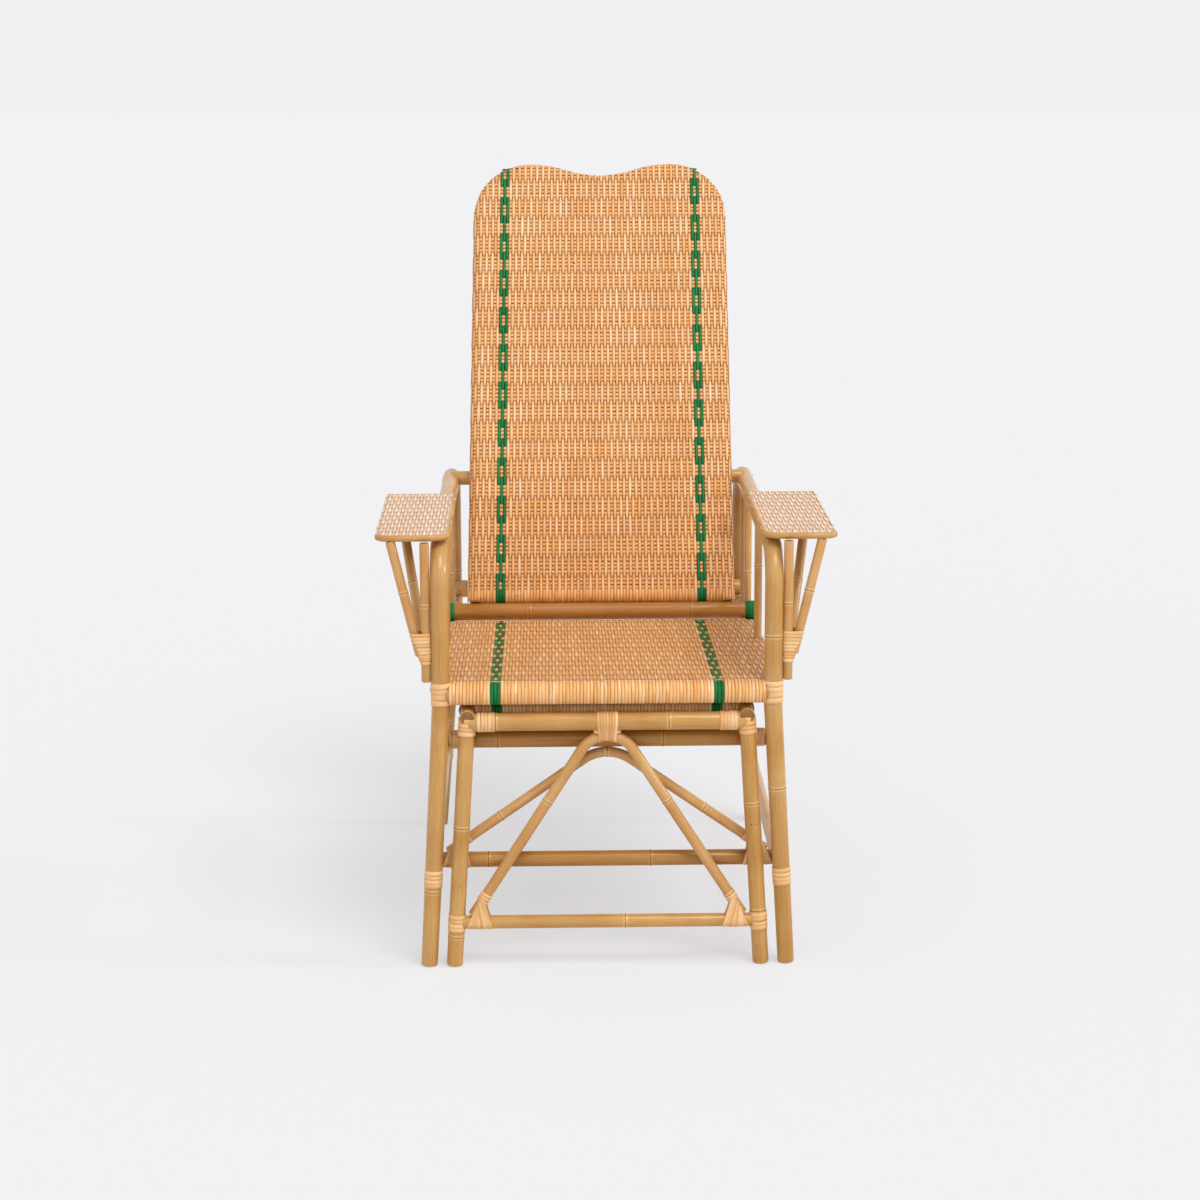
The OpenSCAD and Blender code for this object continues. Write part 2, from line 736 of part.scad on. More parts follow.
module rear_strut(grow = 0) {
    pole([post_x + lash, leg_y + strut_d, strut_foot_z],
         [tray_out - rear_strut_in, tray_y + rear_strut_y, tray_z + over / 2],
         strut_d + 2 * grow, 0, seam);
}

// Cutter for everything above the underside of the trays
module above_trays() {
    translate([0, -far, tray_z - cope]) cube([far, 2 * far, far]);
}

module tray_post(side) {
    color(rod_colour) scale_x(side) difference() {
        post();
        above_trays();
    }
}

// The front strut's foot is cut flat against the post's outer side
module tray_front_strut(side) {
    color(rod_colour) scale_x(side) difference() {
        front_strut();
        above_trays();
        translate([0, leg_y - over, 0]) cube([post_x + strut_d / 2 + cope, 2 * over, arm_height]);
    }
}

// The rear strut's foot is cut flat against the post's rear side
module tray_rear_strut(side) {
    color(rod_colour) scale_x(side) difference() {
        rear_strut();
        above_trays();
        translate([0, leg_y - over, 0]) cube([far, over + strut_d / 2 + cope, arm_height]);
    }
}

// Trapezoid lashing round the feet of a tray's post and struts
module strut_lashings() {
    d = strut_d + 2 * lash;
    color(peel_colour) both() difference() {
        translate([0, 0, strut_foot_z - strut_d / 2]) {
            translate([post_x, leg_y, 0]) cylinder(h = strut_lash_h, d = d);
            translate([post_x, leg_y - d / 2, 0]) cube([strut_d, d, strut_lash_h]);
            translate([post_x + strut_d, leg_y, 0]) cylinder(h = strut_lash_h, d = d);
        }
        post(cope);
        front_strut(cope);
        rear_strut(cope);
        upright(front_knee, cope);
    }
}

// Places children in the back's own frame
module back_frame() {
    translate([0, leg_y + pivot_y, pivot_z]) rotate([-back_lean, 0, 0]) children();
}

module back_pivot(grow = 0, half = pivot_l / 2) {
    pole([-half, 0, 0], [half, 0, 0], pivot_d + 2 * grow);
}

module pivot_bar() {
    color(bar_colour) back_frame() difference() {
        back_pivot();
        both() back_screw(cope);
    }
}

// Screw up through the pivot bar into the foot of a side pole
module back_screw(grow = 0) {
    head = -pivot_d / 2 + 1;
    translate([back_pole_x, 0, head]) cylinder(h = pivot_d + screw_bite, d = screw_d + 2 * grow);
    translate([back_pole_x, 0, head]) cylinder(h = screw_head_d / 4 + grow, d = screw_head_d + 2 * grow);
    if (grow > 0) translate([back_pole_x, 0, -pivot_d]) cylinder(h = pivot_d + head, d = screw_head_d);
}

module back_screws() {
    color(steel) back_frame() both() back_screw();
}

// Path of the hoop from the right pole's foot to the left one's: pole, corner, hump and dip
function hoop_path(from) =
    let (half = concat([[back_pole_x, from]],
                       arc([hump_gap / 2, hump_z - corner_r], corner_r, 0, 90),
                       arc([hump_gap / 2, hump_z - wave_r], wave_r, 90 + wave_turn / 3,
                           90 + wave_turn, 2),
                       arc([0, hump_z - dip + wave_r], wave_r, 270 + wave_turn * 2 / 3, 270, 2)))
    concat(half, [for (i = [len(half) - 2 : -1 : 0]) [-half[i].x, half[i].y]]);

module back_hoop() {
    color(pole_colour) back_frame() difference() {
        bent_rod(hoop_path(pivot_d / 2 + cope), back_pole_d, 0);
        both() back_screw(cope);
    }
}

module back_rail(d, half = back_pole_x) {
    pole([-half, 0, back_rail_z], [half, 0, back_rail_z], d);
}

// Straight side poles, as cutter
module side_poles(grow) {
    both() pole([back_pole_x, 0, 0], [back_pole_x, 0, hump_z - corner_r], back_pole_d + 2 * grow);
}

module back_bottom_rail() {
    color(pole_colour) back_frame() difference() {
        back_rail(back_pole_d);
        side_poles(cope);
    }
}

module cross_rails(d) {
    for (z = cross_rail_z)
        pole([-back_pole_x, cross_rail_y, z], [back_pole_x, cross_rail_y, z], d);
}

module back_cross_rails() {
    color(rod_colour) back_frame() difference() {
        cross_rails(cross_rail_d);
        side_poles(cope);
    }
}

// Woven sheet across the hoop, and sleeves wrapped round the hoop and the bottom rail
module back_weave() {
    top = hoop_path(pivot_d / 2 + clear);
    color(weave_colour) back_frame() difference() {
        union() {
            translate([0, back_sheet_y + back_sheet, 0]) rotate([90, 0, 0])
                linear_extrude(back_sheet) polygon(hoop_path(back_rail_z - 2 * clear));
            bent_rod(top, 2 * back_weave_r, 0);
            back_rail(2 * back_weave_r);
        }
        bent_rod(hoop_path(0), back_pole_d + 2 * cope, 0);
        back_rail(back_pole_d + 2 * cope);
        cross_rails(cross_rail_d + 2 * cope);
    }
}

module footrest_leg_rod(grow = 0) {
    pole(footrest_leg_at(-over), footrest_top, footrest_leg_d + 2 * grow);
}

module runner(grow = 0) {
    pole([runner_x, runner_front, runner_z], [runner_x, runner_rear, runner_z], runner_d + 2 * grow);
}

module footrest_leg(side) {
    color(pole_colour) scale_x(side) difference() {
        footrest_leg_rod();
        translate([0, footrest_y - over, runner_z - runner_d / 2 + leg_bite])
            cube([arm_gap, 2 * over, over]);
        runner(cope);
        below_floor();
    }
}

module footrest_runner(side) {
    color(pole_colour) scale_x(side) runner();
}

module front_bar(grow = 0, half = runner_x) {
    pole([-half, footrest_y, front_bar_z], [half, footrest_y, front_bar_z], front_bar_d + 2 * grow);
}

module footrest_front_bar() {
    color(pole_colour) difference() {
        front_bar();
        both() footrest_leg_rod(cope);
        both() runner(cope);
    }
}

module panel_rails(d) {
    for (y = [panel_front_y, panel_rear_y])
        pole([-runner_x, y, runner_z + runner_weave_r - panel_weave_r],
             [runner_x, y, runner_z + runner_weave_r - panel_weave_r], d);
}

module footrest_panel_rails() {
    color(rod_colour) difference() {
        panel_rails(panel_rail_d);
        both() runner(cope);
    }
}

module footrest_stop_bar() {
    color(rod_colour) pole([-runner_x, stop_y, stop_z], [runner_x, stop_y, stop_z], stop_d);
}

module footrest_weave() {
    color(weave_colour) difference() {
        union() {
            translate([-runner_x, panel_front_y, panel_top - thin_sheet])
                cube([2 * runner_x, panel_rear_y - panel_front_y, thin_sheet]);
            panel_rails(2 * panel_weave_r);
            both() pole([runner_x, panel_front_y, runner_z], [runner_x, panel_rear_y, runner_z],
                        2 * runner_weave_r);
        }
        panel_rails(panel_rail_d + 2 * cope);
        both() runner(cope);
        front_bar(cope);
    }
}

module footrest_low_rod(d) {
    pole([-footrest_low.x, footrest_y, footrest_low_z], [footrest_low.x, footrest_y, footrest_low_z], d);
}

module footrest_low_bar() {
    color(pole_colour) difference() {
        footrest_low_rod(footrest_low_d);
        both() footrest_leg_rod(cope);
    }
}

module footrest_arch_brace() {
    color(rod_colour)
        bent_rod(arch_path(footrest_arch_half, footrest_arch_foot, footrest_arch_top, footrest_arch_bend),
                 footrest_arch_d, footrest_y, true);
}

module footrest_arch_lashings() {
    slope = arch_slope(footrest_arch_half, footrest_arch_top - footrest_arch_foot, footrest_arch_bend);
    color(peel_colour) foot_lashing(footrest_arch_half, footrest_arch_foot, slope, footrest_arch_d,
                                    footrest_low_z, footrest_low_d, footrest_y);
}

// Ring of peel round a footrest leg between two heights
module footrest_ring(low, high) {
    difference() {
        pole(footrest_leg_at(low), footrest_leg_at(high), footrest_leg_d + 2 * lash);
        pole(footrest_leg_at(low - 2), footrest_leg_at(high + 2), footrest_leg_d + 2 * cope);
    }
}

module footrest_corner_lashings() {
    color(peel_colour) both() difference() {
        footrest_ring(runner_z - corner_ring_h, runner_z);
        runner(cope);
        front_bar(cope);
    }
}

module footrest_bar_wraps() {
    end = runner_x - footrest_leg_d / 2 - lash - clear;
    color(peel_colour) difference() {
        both() wrap_x(end - bar_wrap_l, end, footrest_y, front_bar_z, front_bar_d);
        both() runner(cope);
    }
}

// Peel that ties the arch's bend to the middle of the front bar: a loop round both
module footrest_centre_lashing() {
    half = centre_lash_w / 2;
    r = front_bar_d / 2 + cope;
    inner = footrest_arch_bend - footrest_arch_d / 2;
    low = footrest_arch_top - footrest_arch_bend + sqrt(pow(inner, 2) - pow(half, 2)) - 2 * clear - lash;
    color(peel_colour) {
        difference() {
            wrap_x(-half, half, footrest_y, front_bar_z, front_bar_d);
            translate([-half - 1, footrest_y - r + lash / 2, low])
                cube([centre_lash_w + 2, 2 * r - lash, front_bar_z - r / 2 - cope - low]);
        }
        for (side = [-1, 1]) translate([-half, footrest_y + side * (r - lash / 2) - lash / 2, low])
            cube([centre_lash_w, lash, front_bar_z - r / 2 - low]);
        translate([-half, footrest_y - r, low]) cube([centre_lash_w, 2 * r, lash]);
    }
}

module footrest_low_lashings() {
    color(peel_colour) both() difference() {
        footrest_ring(footrest_low_z - low_ring_h / 2, footrest_low_z + low_ring_h / 2);
        footrest_low_rod(footrest_low_d + 2 * cope);
    }
}

side_hoop(-1);  // side_hoop_left
side_hoop(1);  // side_hoop_right
seat_front_rail();
seat_side_rail(-1);  // seat_side_rail_left
seat_side_rail(1);  // seat_side_rail_right
seat_rear_rail();
seat_support_rods();
seat_weave();
rear_crossbar();
recline_bar();
recline_bar_screws();
slide_bar();
slide_bar_screws();
slide_bar_wraps();
front_low_crossbar();
side_stretcher(-1);  // side_stretcher_left
side_stretcher(1);  // side_stretcher_right
front_arch_brace();
arch_foot_lashings();
arm_spindles(-1);  // arm_spindles_left
arm_spindles(1);  // arm_spindles_right
front_seat_lashings();
rear_seat_lashings();
front_low_lashings();
rear_low_lashings();
hinge_bindings();
tray_rim_side(-1);  // tray_rim_left
tray_rim_side(1);  // tray_rim_right
tray_rod(-1);  // tray_rod_left
tray_rod(1);  // tray_rod_right
tray_weave(-1);  // tray_weave_left
tray_weave(1);  // tray_weave_right
tray_post(-1);  // tray_post_left
tray_post(1);  // tray_post_right
tray_front_strut(-1);  // tray_front_strut_left
tray_front_strut(1);  // tray_front_strut_right
tray_rear_strut(-1);  // tray_rear_strut_left
tray_rear_strut(1);  // tray_rear_strut_right
strut_lashings();
pivot_bar();
back_hoop();
back_bottom_rail();
back_cross_rails();
back_weave();
back_screws();
footrest_leg(-1);  // footrest_leg_left
footrest_leg(1);  // footrest_leg_right
footrest_runner(-1);  // footrest_runner_left
footrest_runner(1);  // footrest_runner_right
footrest_front_bar();
footrest_panel_rails();
footrest_stop_bar();
footrest_weave();
footrest_low_bar();
footrest_arch_brace();
footrest_arch_lashings();
footrest_corner_lashings();
footrest_bar_wraps();
footrest_centre_lashing();
footrest_low_lashings();
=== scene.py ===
"""Looks of a rattan lounge chair: turned poles, peel lashings and woven faces, a floor, light and a camera.

Every length is in metres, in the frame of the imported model: X across, Z up, and the chair faces towards -Y.
Poles are modelled with operators and bent along their routes. The strands of the weave and the lashings are
drawn in mesh code, because each one follows its own way over and under its neighbours.
"""

from __future__ import annotations

import logging
import math
from collections.abc import Callable
from dataclasses import dataclass, field
from enum import Enum

import bmesh
import bpy
import numpy as np
from bpy.types import Material, Node, NodeSocket, NodeTree, Object
from mathutils import Matrix, Vector


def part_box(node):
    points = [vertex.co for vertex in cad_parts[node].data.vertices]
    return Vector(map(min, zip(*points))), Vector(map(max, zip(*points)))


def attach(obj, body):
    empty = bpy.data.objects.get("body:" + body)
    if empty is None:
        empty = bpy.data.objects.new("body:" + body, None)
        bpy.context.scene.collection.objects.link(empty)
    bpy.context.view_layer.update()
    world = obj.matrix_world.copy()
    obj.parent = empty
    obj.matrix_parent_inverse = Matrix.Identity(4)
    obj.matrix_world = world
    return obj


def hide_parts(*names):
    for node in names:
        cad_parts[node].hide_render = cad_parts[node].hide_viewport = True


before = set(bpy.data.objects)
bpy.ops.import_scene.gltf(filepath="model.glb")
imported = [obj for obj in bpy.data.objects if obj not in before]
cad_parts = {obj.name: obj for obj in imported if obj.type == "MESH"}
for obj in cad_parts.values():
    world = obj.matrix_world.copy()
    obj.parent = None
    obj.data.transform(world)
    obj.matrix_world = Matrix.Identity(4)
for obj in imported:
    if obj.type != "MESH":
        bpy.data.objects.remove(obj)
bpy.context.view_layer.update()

LOG = logging.getLogger("lounge_chair")
SEED = 20
POLE_POINTS = 0.004  # distance between the guide points of a bent pole
LEAN = 0.0005  # how far a turn of peel leans at most
PALE_GREY = (241, 241, 243)
RIGHTWARD, REARWARD, UPWARD = Vector((1, 0, 0)), Vector((0, 1, 0)), Vector((0, 0, 1))

Tint = tuple[float, float, float]


class Body(Enum):
    """The parts of the chair that move as one."""

    FRAME = "frame"
    BACK = "back"
    FOOTREST = "footrest"


class Slot(Enum):
    """The record's material slots."""

    POLE = "pole"
    ROD = "rod"
    SMOKED = "smoked_pole"
    WEAVE = "weave"
    PEEL = "peel"
    GREEN = "green_peel"


class Side(Enum):
    """The chair's two sides, with the sign of X."""

    LEFT = -1
    RIGHT = 1

    @property
    def word(self) -> str:
        """The side's word in a node's name."""
        return self.name.lower()


def low(node: str) -> Vector:
    """Lowest corner of a CAD node's box."""
    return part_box(node)[0]


def high(node: str) -> Vector:
    """Highest corner of a CAD node's box."""
    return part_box(node)[1]


def mid(node: str) -> Vector:
    """Middle of a CAD node's box."""
    return (low(node) + high(node)) / 2


def half_height(node: str) -> float:
    """Half the height of a CAD node's box, which is the radius of a level bar."""
    return (high(node).z - low(node).z) / 2


def mirrored(point: Vector, sign: int) -> Vector:
    """A right-hand place, or its twin on the left where the sign is -1."""
    return Vector((sign * point.x, point.y, point.z))


def unit(vectors: np.ndarray) -> np.ndarray:
    """Vectors in rows, each made one long."""
    return vectors / np.maximum(np.linalg.norm(vectors, axis=-1, keepdims=True), 1e-12)


def columns(*values: np.ndarray | float) -> np.ndarray:
    """Values side by side, one column each, with a single number repeated down its column."""
    return np.stack(np.broadcast_arrays(*values), 1)


def smooth(share: np.ndarray) -> np.ndarray:
    """A soft step from 0 to 1."""
    held = np.clip(share, 0, 1)
    return held * held * (3 - 2 * held)


def hash_of(name: str) -> int:
    """A steady number from a name."""
    return sum((place + 3) * ord(letter) for place, letter in enumerate(name))


# Nodes and materials


@dataclass
class Graph:
    """A node tree under construction."""

    tree: NodeTree

    def add(self, kind: str, **settings: object) -> Node:
        """Adds a node.

        Args:
            kind: the node's type name, without its ShaderNode prefix.
            settings: properties to set on it.
        Returns:
            The new node.
        """
        node = self.tree.nodes.new("ShaderNode" + kind)
        for name, value in settings.items():
            setattr(node, name, value)
        return node

    def join(self, source: object, target: NodeSocket) -> None:
        """Fills an input from a socket or with a constant.

        Args:
            source: the socket or the constant.
            target: the input.
        """
        if isinstance(source, NodeSocket):
            self.tree.links.new(source, target)
        else:
            target.default_value = source

    def feed(self, node: Node, **values: object) -> Node:
        """Fills a node's inputs.

        Args:
            node: the node.
            values: a socket or a constant for each input, named with _ for a space.
        Returns:
            The node.
        """
        for name, value in values.items():
            self.join(value, node.inputs[name.replace("_", " ")])
        return node

    def sum(self, kind: str, *values: object) -> NodeSocket:
        """Adds a Math node.

        Args:
            kind: the operation.
            values: sockets or constants for its inputs.
        Returns:
            The result's socket.
        """
        node = self.add("Math", operation=kind)
        for socket, value in zip(node.inputs, values):
            self.join(value, socket)
        return node.outputs[0]

    def times(self, first: object, second: object) -> NodeSocket:
        """Multiplies two sockets or constants."""
        return self.sum("MULTIPLY", first, second)

    def ranged(self, value: NodeSocket, start: float, end: float, low_out: float = 0.0,
               high_out: float = 1.0) -> NodeSocket:
        """Adds a Map Range node that clamps.

        Args:
            value: the socket to map.
            start: input that gives low_out.
            end: input that gives high_out.
            low_out: output at the start.
            high_out: output at the end.
        Returns:
            The mapped value's socket.
        """
        node = self.feed(self.add("MapRange"), Value=value, From_Min=start, From_Max=end, To_Min=low_out,
                         To_Max=high_out)
        return node.outputs["Result"]

    def mixed(self, share: object, first: object, second: object) -> NodeSocket:
        """Mixes two colours.

        Args:
            share: how much of the second colour shows.
            first: colour or socket.
            second: colour or socket.
        Returns:
            The mixed colour's socket.
        """
        node = self.add("Mix", data_type="RGBA")
        for number, value in ((0, share), (6, first), (7, second)):
            self.join(value, node.inputs[number])
        return node.outputs[2]

    def blend(self, share: NodeSocket, first: NodeSocket, second: NodeSocket, target: NodeSocket) -> None:
        """Mixes two shaders into a target.

        Args:
            share: how much of the second shader shows.
            first: the first shader.
            second: the second shader.
            target: where the mix goes.
        """
        mixer = self.add("MixShader")
        for socket, source in zip(mixer.inputs, (share, first, second)):
            self.join(source, socket)
        self.join(mixer.outputs[0], target)

    def named(self, attribute: str, output: str = "Fac") -> NodeSocket:
        """Reads a mesh attribute."""
        return self.add("Attribute", attribute_type="GEOMETRY", attribute_name=attribute).outputs[output]

    def place(self) -> NodeSocket:
        """Place on the piece, in its own coordinates."""
        return self.add("TexCoord").outputs["Object"]

    def effect(self, group: NodeTree, place: NodeSocket, **settings: float) -> Node:
        """Adds a shared effect."""
        return self.feed(self.add("Group", node_tree=group), Vector=place, **settings)

    def raise_by(self, height: NodeSocket, strength: float, distance: float, skin: Node) -> None:
        """Gives a shader a fine relief."""
        bump = self.feed(self.add("Bump"), Strength=strength, Distance=distance, Height=height)
        self.feed(skin, Normal=bump.outputs[0])


def new_group(name: str, inputs: dict[str, float | None],
              outputs: tuple[str, ...]) -> tuple[Graph, dict[str, NodeSocket], dict[str, NodeSocket]]:
    """Starts a shader node group.

    Args:
        name: the group's name.
        inputs: each input's name and its default, or None for a vector.
        outputs: names of the value outputs.
    Returns:
        The graph, its input sockets by name and its output sockets by name.
    """
    tree = bpy.data.node_groups.new(name, "ShaderNodeTree")
    for label, start in inputs.items():
        kind = "NodeSocketVector" if start is None else "NodeSocketFloat"
        socket = tree.interface.new_socket(label, in_out="INPUT", socket_type=kind)
        if start is not None:
            socket.default_value = start
    for label in outputs:
        tree.interface.new_socket(label, in_out="OUTPUT", socket_type="NodeSocketFloat")
    entry, leave = tree.nodes.new("NodeGroupInput"), tree.nodes.new("NodeGroupOutput")
    return Graph(tree), {s.name: s for s in entry.outputs}, {s.name: s for s in leave.inputs}


class Effects:
    """The node groups that the finishes share."""

    def __init__(self) -> None:
        """Builds each group once."""
        self.fibre = self.make_fibre()
        self.blotch = self.make_blotch()
        self.fleck = self.make_fleck()
        self.ring = self.make_ring()

    def make_fibre(self) -> NodeTree:
        """Long streaks along X of the given coordinates."""
        graph, given, out = new_group("cane_fibre", {"Vector": None, "Across": 900.0, "Stretch": 0.03},
                                      ("Streak", "Fine"))
        parts = graph.add("SeparateXYZ")
        graph.join(given["Vector"], parts.inputs[0])
        drawn = graph.feed(graph.add("CombineXYZ"), X=graph.times(parts.outputs[0], given["Stretch"]),
                           Y=parts.outputs[1], Z=parts.outputs[2])
        for label, scale, detail in (("Streak", 1.0, 3.0), ("Fine", 3.1, 2.0)):
            noise = graph.feed(graph.add("TexNoise"), Detail=detail, Vector=drawn.outputs[0],
                               Scale=graph.times(given["Across"], scale))
            graph.join(graph.ranged(noise.outputs[0], 0.3, 0.7), out[label])
        return graph.tree

    def make_blotch(self) -> NodeTree:
        """Broad soft patches."""
        graph, given, out = new_group("cane_blotch", {"Vector": None, "Scale": 14.0}, ("Patch",))
        noise = graph.feed(graph.add("TexNoise"), Detail=2.0, Vector=given["Vector"], Scale=given["Scale"])
        graph.join(graph.ranged(noise.outputs[0], 0.32, 0.68), out["Patch"])
        return graph.tree

    def make_fleck(self) -> NodeTree:
        """Sparse small dark flecks, one in a share of the cells."""
        inputs = {"Vector": None, "Scale": 60.0, "Share": 0.05, "Size": 0.1}
        graph, given, out = new_group("cane_fleck", inputs, ("Mask",))
        cells = graph.feed(graph.add("TexVoronoi"), Vector=given["Vector"], Scale=given["Scale"])
        tint = graph.feed(graph.add("SeparateColor"), Color=cells.outputs["Color"])
        chosen = graph.sum("LESS_THAN", tint.outputs[0], given["Share"])
        edge = graph.times(given["Size"], graph.ranged(tint.outputs[1], 0.0, 1.0, 0.5, 1.2))
        near = graph.sum("LESS_THAN", cells.outputs["Distance"], edge)
        graph.join(graph.times(chosen, near), out["Mask"])
        return graph.tree

    def make_ring(self) -> NodeTree:
        """Growth ring of a pole, from the distance to it: a dark line in a pale band."""
        graph, given, out = new_group("pole_ring", {"Distance": 1.0}, ("Line", "Band"))
        for label, inner, outer in (("Line", 0.0004, 0.0013), ("Band", 0.0012, 0.0048)):
            graph.join(graph.ranged(given["Distance"], inner, outer, 1.0, 0.0), out[label])
        return graph.tree


def colour(tint: Tint) -> tuple[float, float, float, float]:
    """A display colour, 0 to 255, as the shader's linear one."""
    shares = [value / 255 for value in tint]
    return *(s / 12.92 if s <= 0.04045 else ((s + 0.055) / 1.055) ** 2.4 for s in shares), 1.0


def new_material(name: str) -> tuple[Material, Graph, Node]:
    """Starts a material.

    Args:
        name: its name.
    Returns:
        The material, its graph and its Principled shader.
    """
    material = bpy.data.materials.new(name)
    material.use_nodes = True
    return material, Graph(material.node_tree), material.node_tree.nodes["Principled BSDF"]


@dataclass(frozen=True)
class PoleFinish:
    """Satin skin of a rattan pole, with fibres along it, patches and growth rings."""

    name: str
    tan: Tint
    brown: Tint
    pale: Tint
    ring: Tint
    follows_pole: bool = True

    def build(self, effects: Effects) -> Material:
        """Makes the material.

        Args:
            effects: the shared node groups.
        Returns:
            The material.
        """
        material, graph, skin = new_material(self.name)
        tan, brown, pale, ring = (colour(tint) for tint in (self.tan, self.brown, self.pale, self.ring))
        place = graph.named("straight", "Vector") if self.follows_pole else graph.place()
        fibre = graph.effect(effects.fibre, place, Across=420.0, Stretch=0.035)
        patch = graph.effect(effects.blotch, place)
        fleck = graph.effect(effects.fleck, place, Scale=70.0, Share=0.06, Size=0.1)
        stain = graph.effect(effects.blotch, place, Scale=5.0)
        tone = graph.mixed(graph.times(fibre.outputs["Streak"], 0.6), tan, brown)
        for share, value, tint in ((patch.outputs["Patch"], 0.45, pale), (stain.outputs["Patch"], 0.5, brown),
                                   (fibre.outputs["Fine"], 0.22, ring)):
            tone = graph.mixed(graph.times(share, value), tone, tint)
        if self.follows_pole:
            growth = graph.feed(graph.add("Group", node_tree=effects.ring), Distance=graph.named("ring"))
            tone = graph.mixed(graph.times(growth.outputs["Band"], 0.5), tone, pale)
            worn = graph.ranged(fibre.outputs["Fine"], 0.0, 1.0, 0.45, 1.0)
            tone = graph.mixed(graph.times(growth.outputs["Line"], worn), tone, ring)
        tone = graph.mixed(graph.times(fleck.outputs["Mask"], 0.7), tone, ring)
        rough = graph.ranged(fibre.outputs["Streak"], 0.0, 1.0, 0.34, 0.5)
        graph.feed(skin, Base_Color=tone, Roughness=rough, Specular_IOR_Level=0.2, Coat_Weight=0.55,
                   Coat_Roughness=0.2)
        graph.raise_by(fibre.outputs["Fine"], 0.25, 0.0004, skin)
        return material


@dataclass(frozen=True)
class EndFinish:
    """Sawn end of a pole: dark pores in brown pith."""

    name: str
    pith: Tint
    pore: Tint

    def build(self, effects: Effects) -> Material:
        """Makes the material.

        Args:
            effects: the shared node groups.
        Returns:
            The material.
        """
        material, graph, skin = new_material(self.name)
        place, pore = graph.place(), colour(self.pore)
        pores = graph.effect(effects.fleck, place, Scale=900.0, Share=0.7, Size=0.33)
        patch = graph.effect(effects.blotch, place, Scale=120.0)
        tone = graph.mixed(graph.times(patch.outputs["Patch"], 0.5), colour(self.pith), pore)
        tone = graph.mixed(graph.times(pores.outputs["Mask"], 0.8), tone, pore)
        graph.feed(skin, Base_Color=tone, Roughness=0.8)
        return material


@dataclass(frozen=True)
class StrandFinish:
    """Peel or cane strand, coloured by its own tone and its fibres, with painted shade by how deep it lies in
    the weave and a painted highlight along it.
    """

    name: str
    dark: Tint
    tan: Tint
    light: Tint
    pit: Tint
    speck: Tint
    speck_share: float
    glint: tuple[float, ...] = (0.93, 0.80, 0.68, 1.0)
    coat: float = 0.12
    streak_at: float = 0.0005
    streak_half: float = 0.0011

    def build(self, effects: Effects) -> Material:
        """Makes the material.

        Args:
            effects: the shared node groups.
        Returns:
            The material.
        """
        material, graph, skin = new_material(self.name)
        along = graph.named("fibre", "Vector")
        across = graph.add("SeparateXYZ")
        graph.join(along, across.inputs[0])
        fibre = graph.effect(effects.fibre, along, Across=800.0, Stretch=0.06)
        ramp = graph.add("ValToRGB")
        first, last = ramp.color_ramp.elements
        first.position, first.color = 0.05, colour(self.dark)
        last.position, last.color = 0.95, colour(self.light)
        ramp.color_ramp.elements.new(0.45).color = colour(self.tan)
        tone = graph.sum("SUBTRACT", graph.named("tone"), 0.11)
        graph.join(graph.sum("MULTIPLY_ADD", fibre.outputs["Streak"], 0.22, tone), ramp.inputs[0])
        shown = graph.mixed(graph.times(fibre.outputs["Fine"], 0.12), ramp.outputs[0], colour(self.dark))
        # Painted highlight: a band of the glint colour along each strand, as strong as the strand's highlight
        # mark.
        aside = graph.sum("ABSOLUTE", graph.sum("SUBTRACT", across.outputs[1], self.streak_at))
        painted_highlight = graph.times(graph.ranged(aside, 0.0, self.streak_half, 1.0, 0.0), graph.named("shine"))
        shown = graph.mixed(painted_highlight, shown, self.glint)
        # Painted shade: the deeper a part of a strand lies, and the nearer its edge, the more it takes the
        # deep colour.
        shown = graph.mixed(graph.ranged(graph.named("depth"), 0.0, 1.0, 0.0, 0.92), shown, colour(self.pit))
        fleck = graph.effect(effects.fleck, graph.place(), Scale=55.0, Share=self.speck_share, Size=0.085)
        shown = graph.mixed(graph.times(fleck.outputs["Mask"], 0.85), shown, colour(self.speck))
        rough = graph.ranged(fibre.outputs["Fine"], 0.0, 1.0, 0.40, 0.56)
        graph.feed(skin, Base_Color=shown, Roughness=rough, Specular_IOR_Level=0.25, Coat_Weight=self.coat,
                   Coat_Roughness=0.25)
        graph.raise_by(fibre.outputs["Streak"], 0.3, 0.0002, skin)
        return material


@dataclass(frozen=True)
class SteelFinish:
    """Zinc plated screw, faintly mottled."""

    name: str
    zinc: Tint
    dull: Tint

    def build(self, effects: Effects) -> Material:
        """Makes the material.

        Args:
            effects: the shared node groups.
        Returns:
            The material.
        """
        material, graph, skin = new_material(self.name)
        patch = graph.effect(effects.blotch, graph.place(), Scale=300.0).outputs["Patch"]
        graph.feed(skin, Base_Color=graph.mixed(patch, colour(self.zinc), colour(self.dull)),
                   Roughness=graph.ranged(patch, 0.0, 1.0, 0.3, 0.5), Metallic=1.0)
        return material


@dataclass(frozen=True)
class FloorFinish:
    """Pale studio floor whose shadows stay faint to the camera."""

    name: str
    pale: Tint
    lit: Tint
    shade: float

    def build(self) -> Material:
        """Makes the material.

        Returns:
            The material.
        """
        material, graph, skin = new_material(self.name)
        graph.feed(skin, Base_Color=colour(self.lit), Roughness=0.9, Specular_IOR_Level=0.0)
        glow = graph.feed(graph.add("Emission"), Color=colour(self.pale))
        share = graph.times(graph.add("LightPath").outputs["Is Camera Ray"], 1.0 - self.shade)
        graph.blend(share, skin.outputs[0], glow.outputs[0],
                    material.node_tree.nodes["Material Output"].inputs[0])
        return material


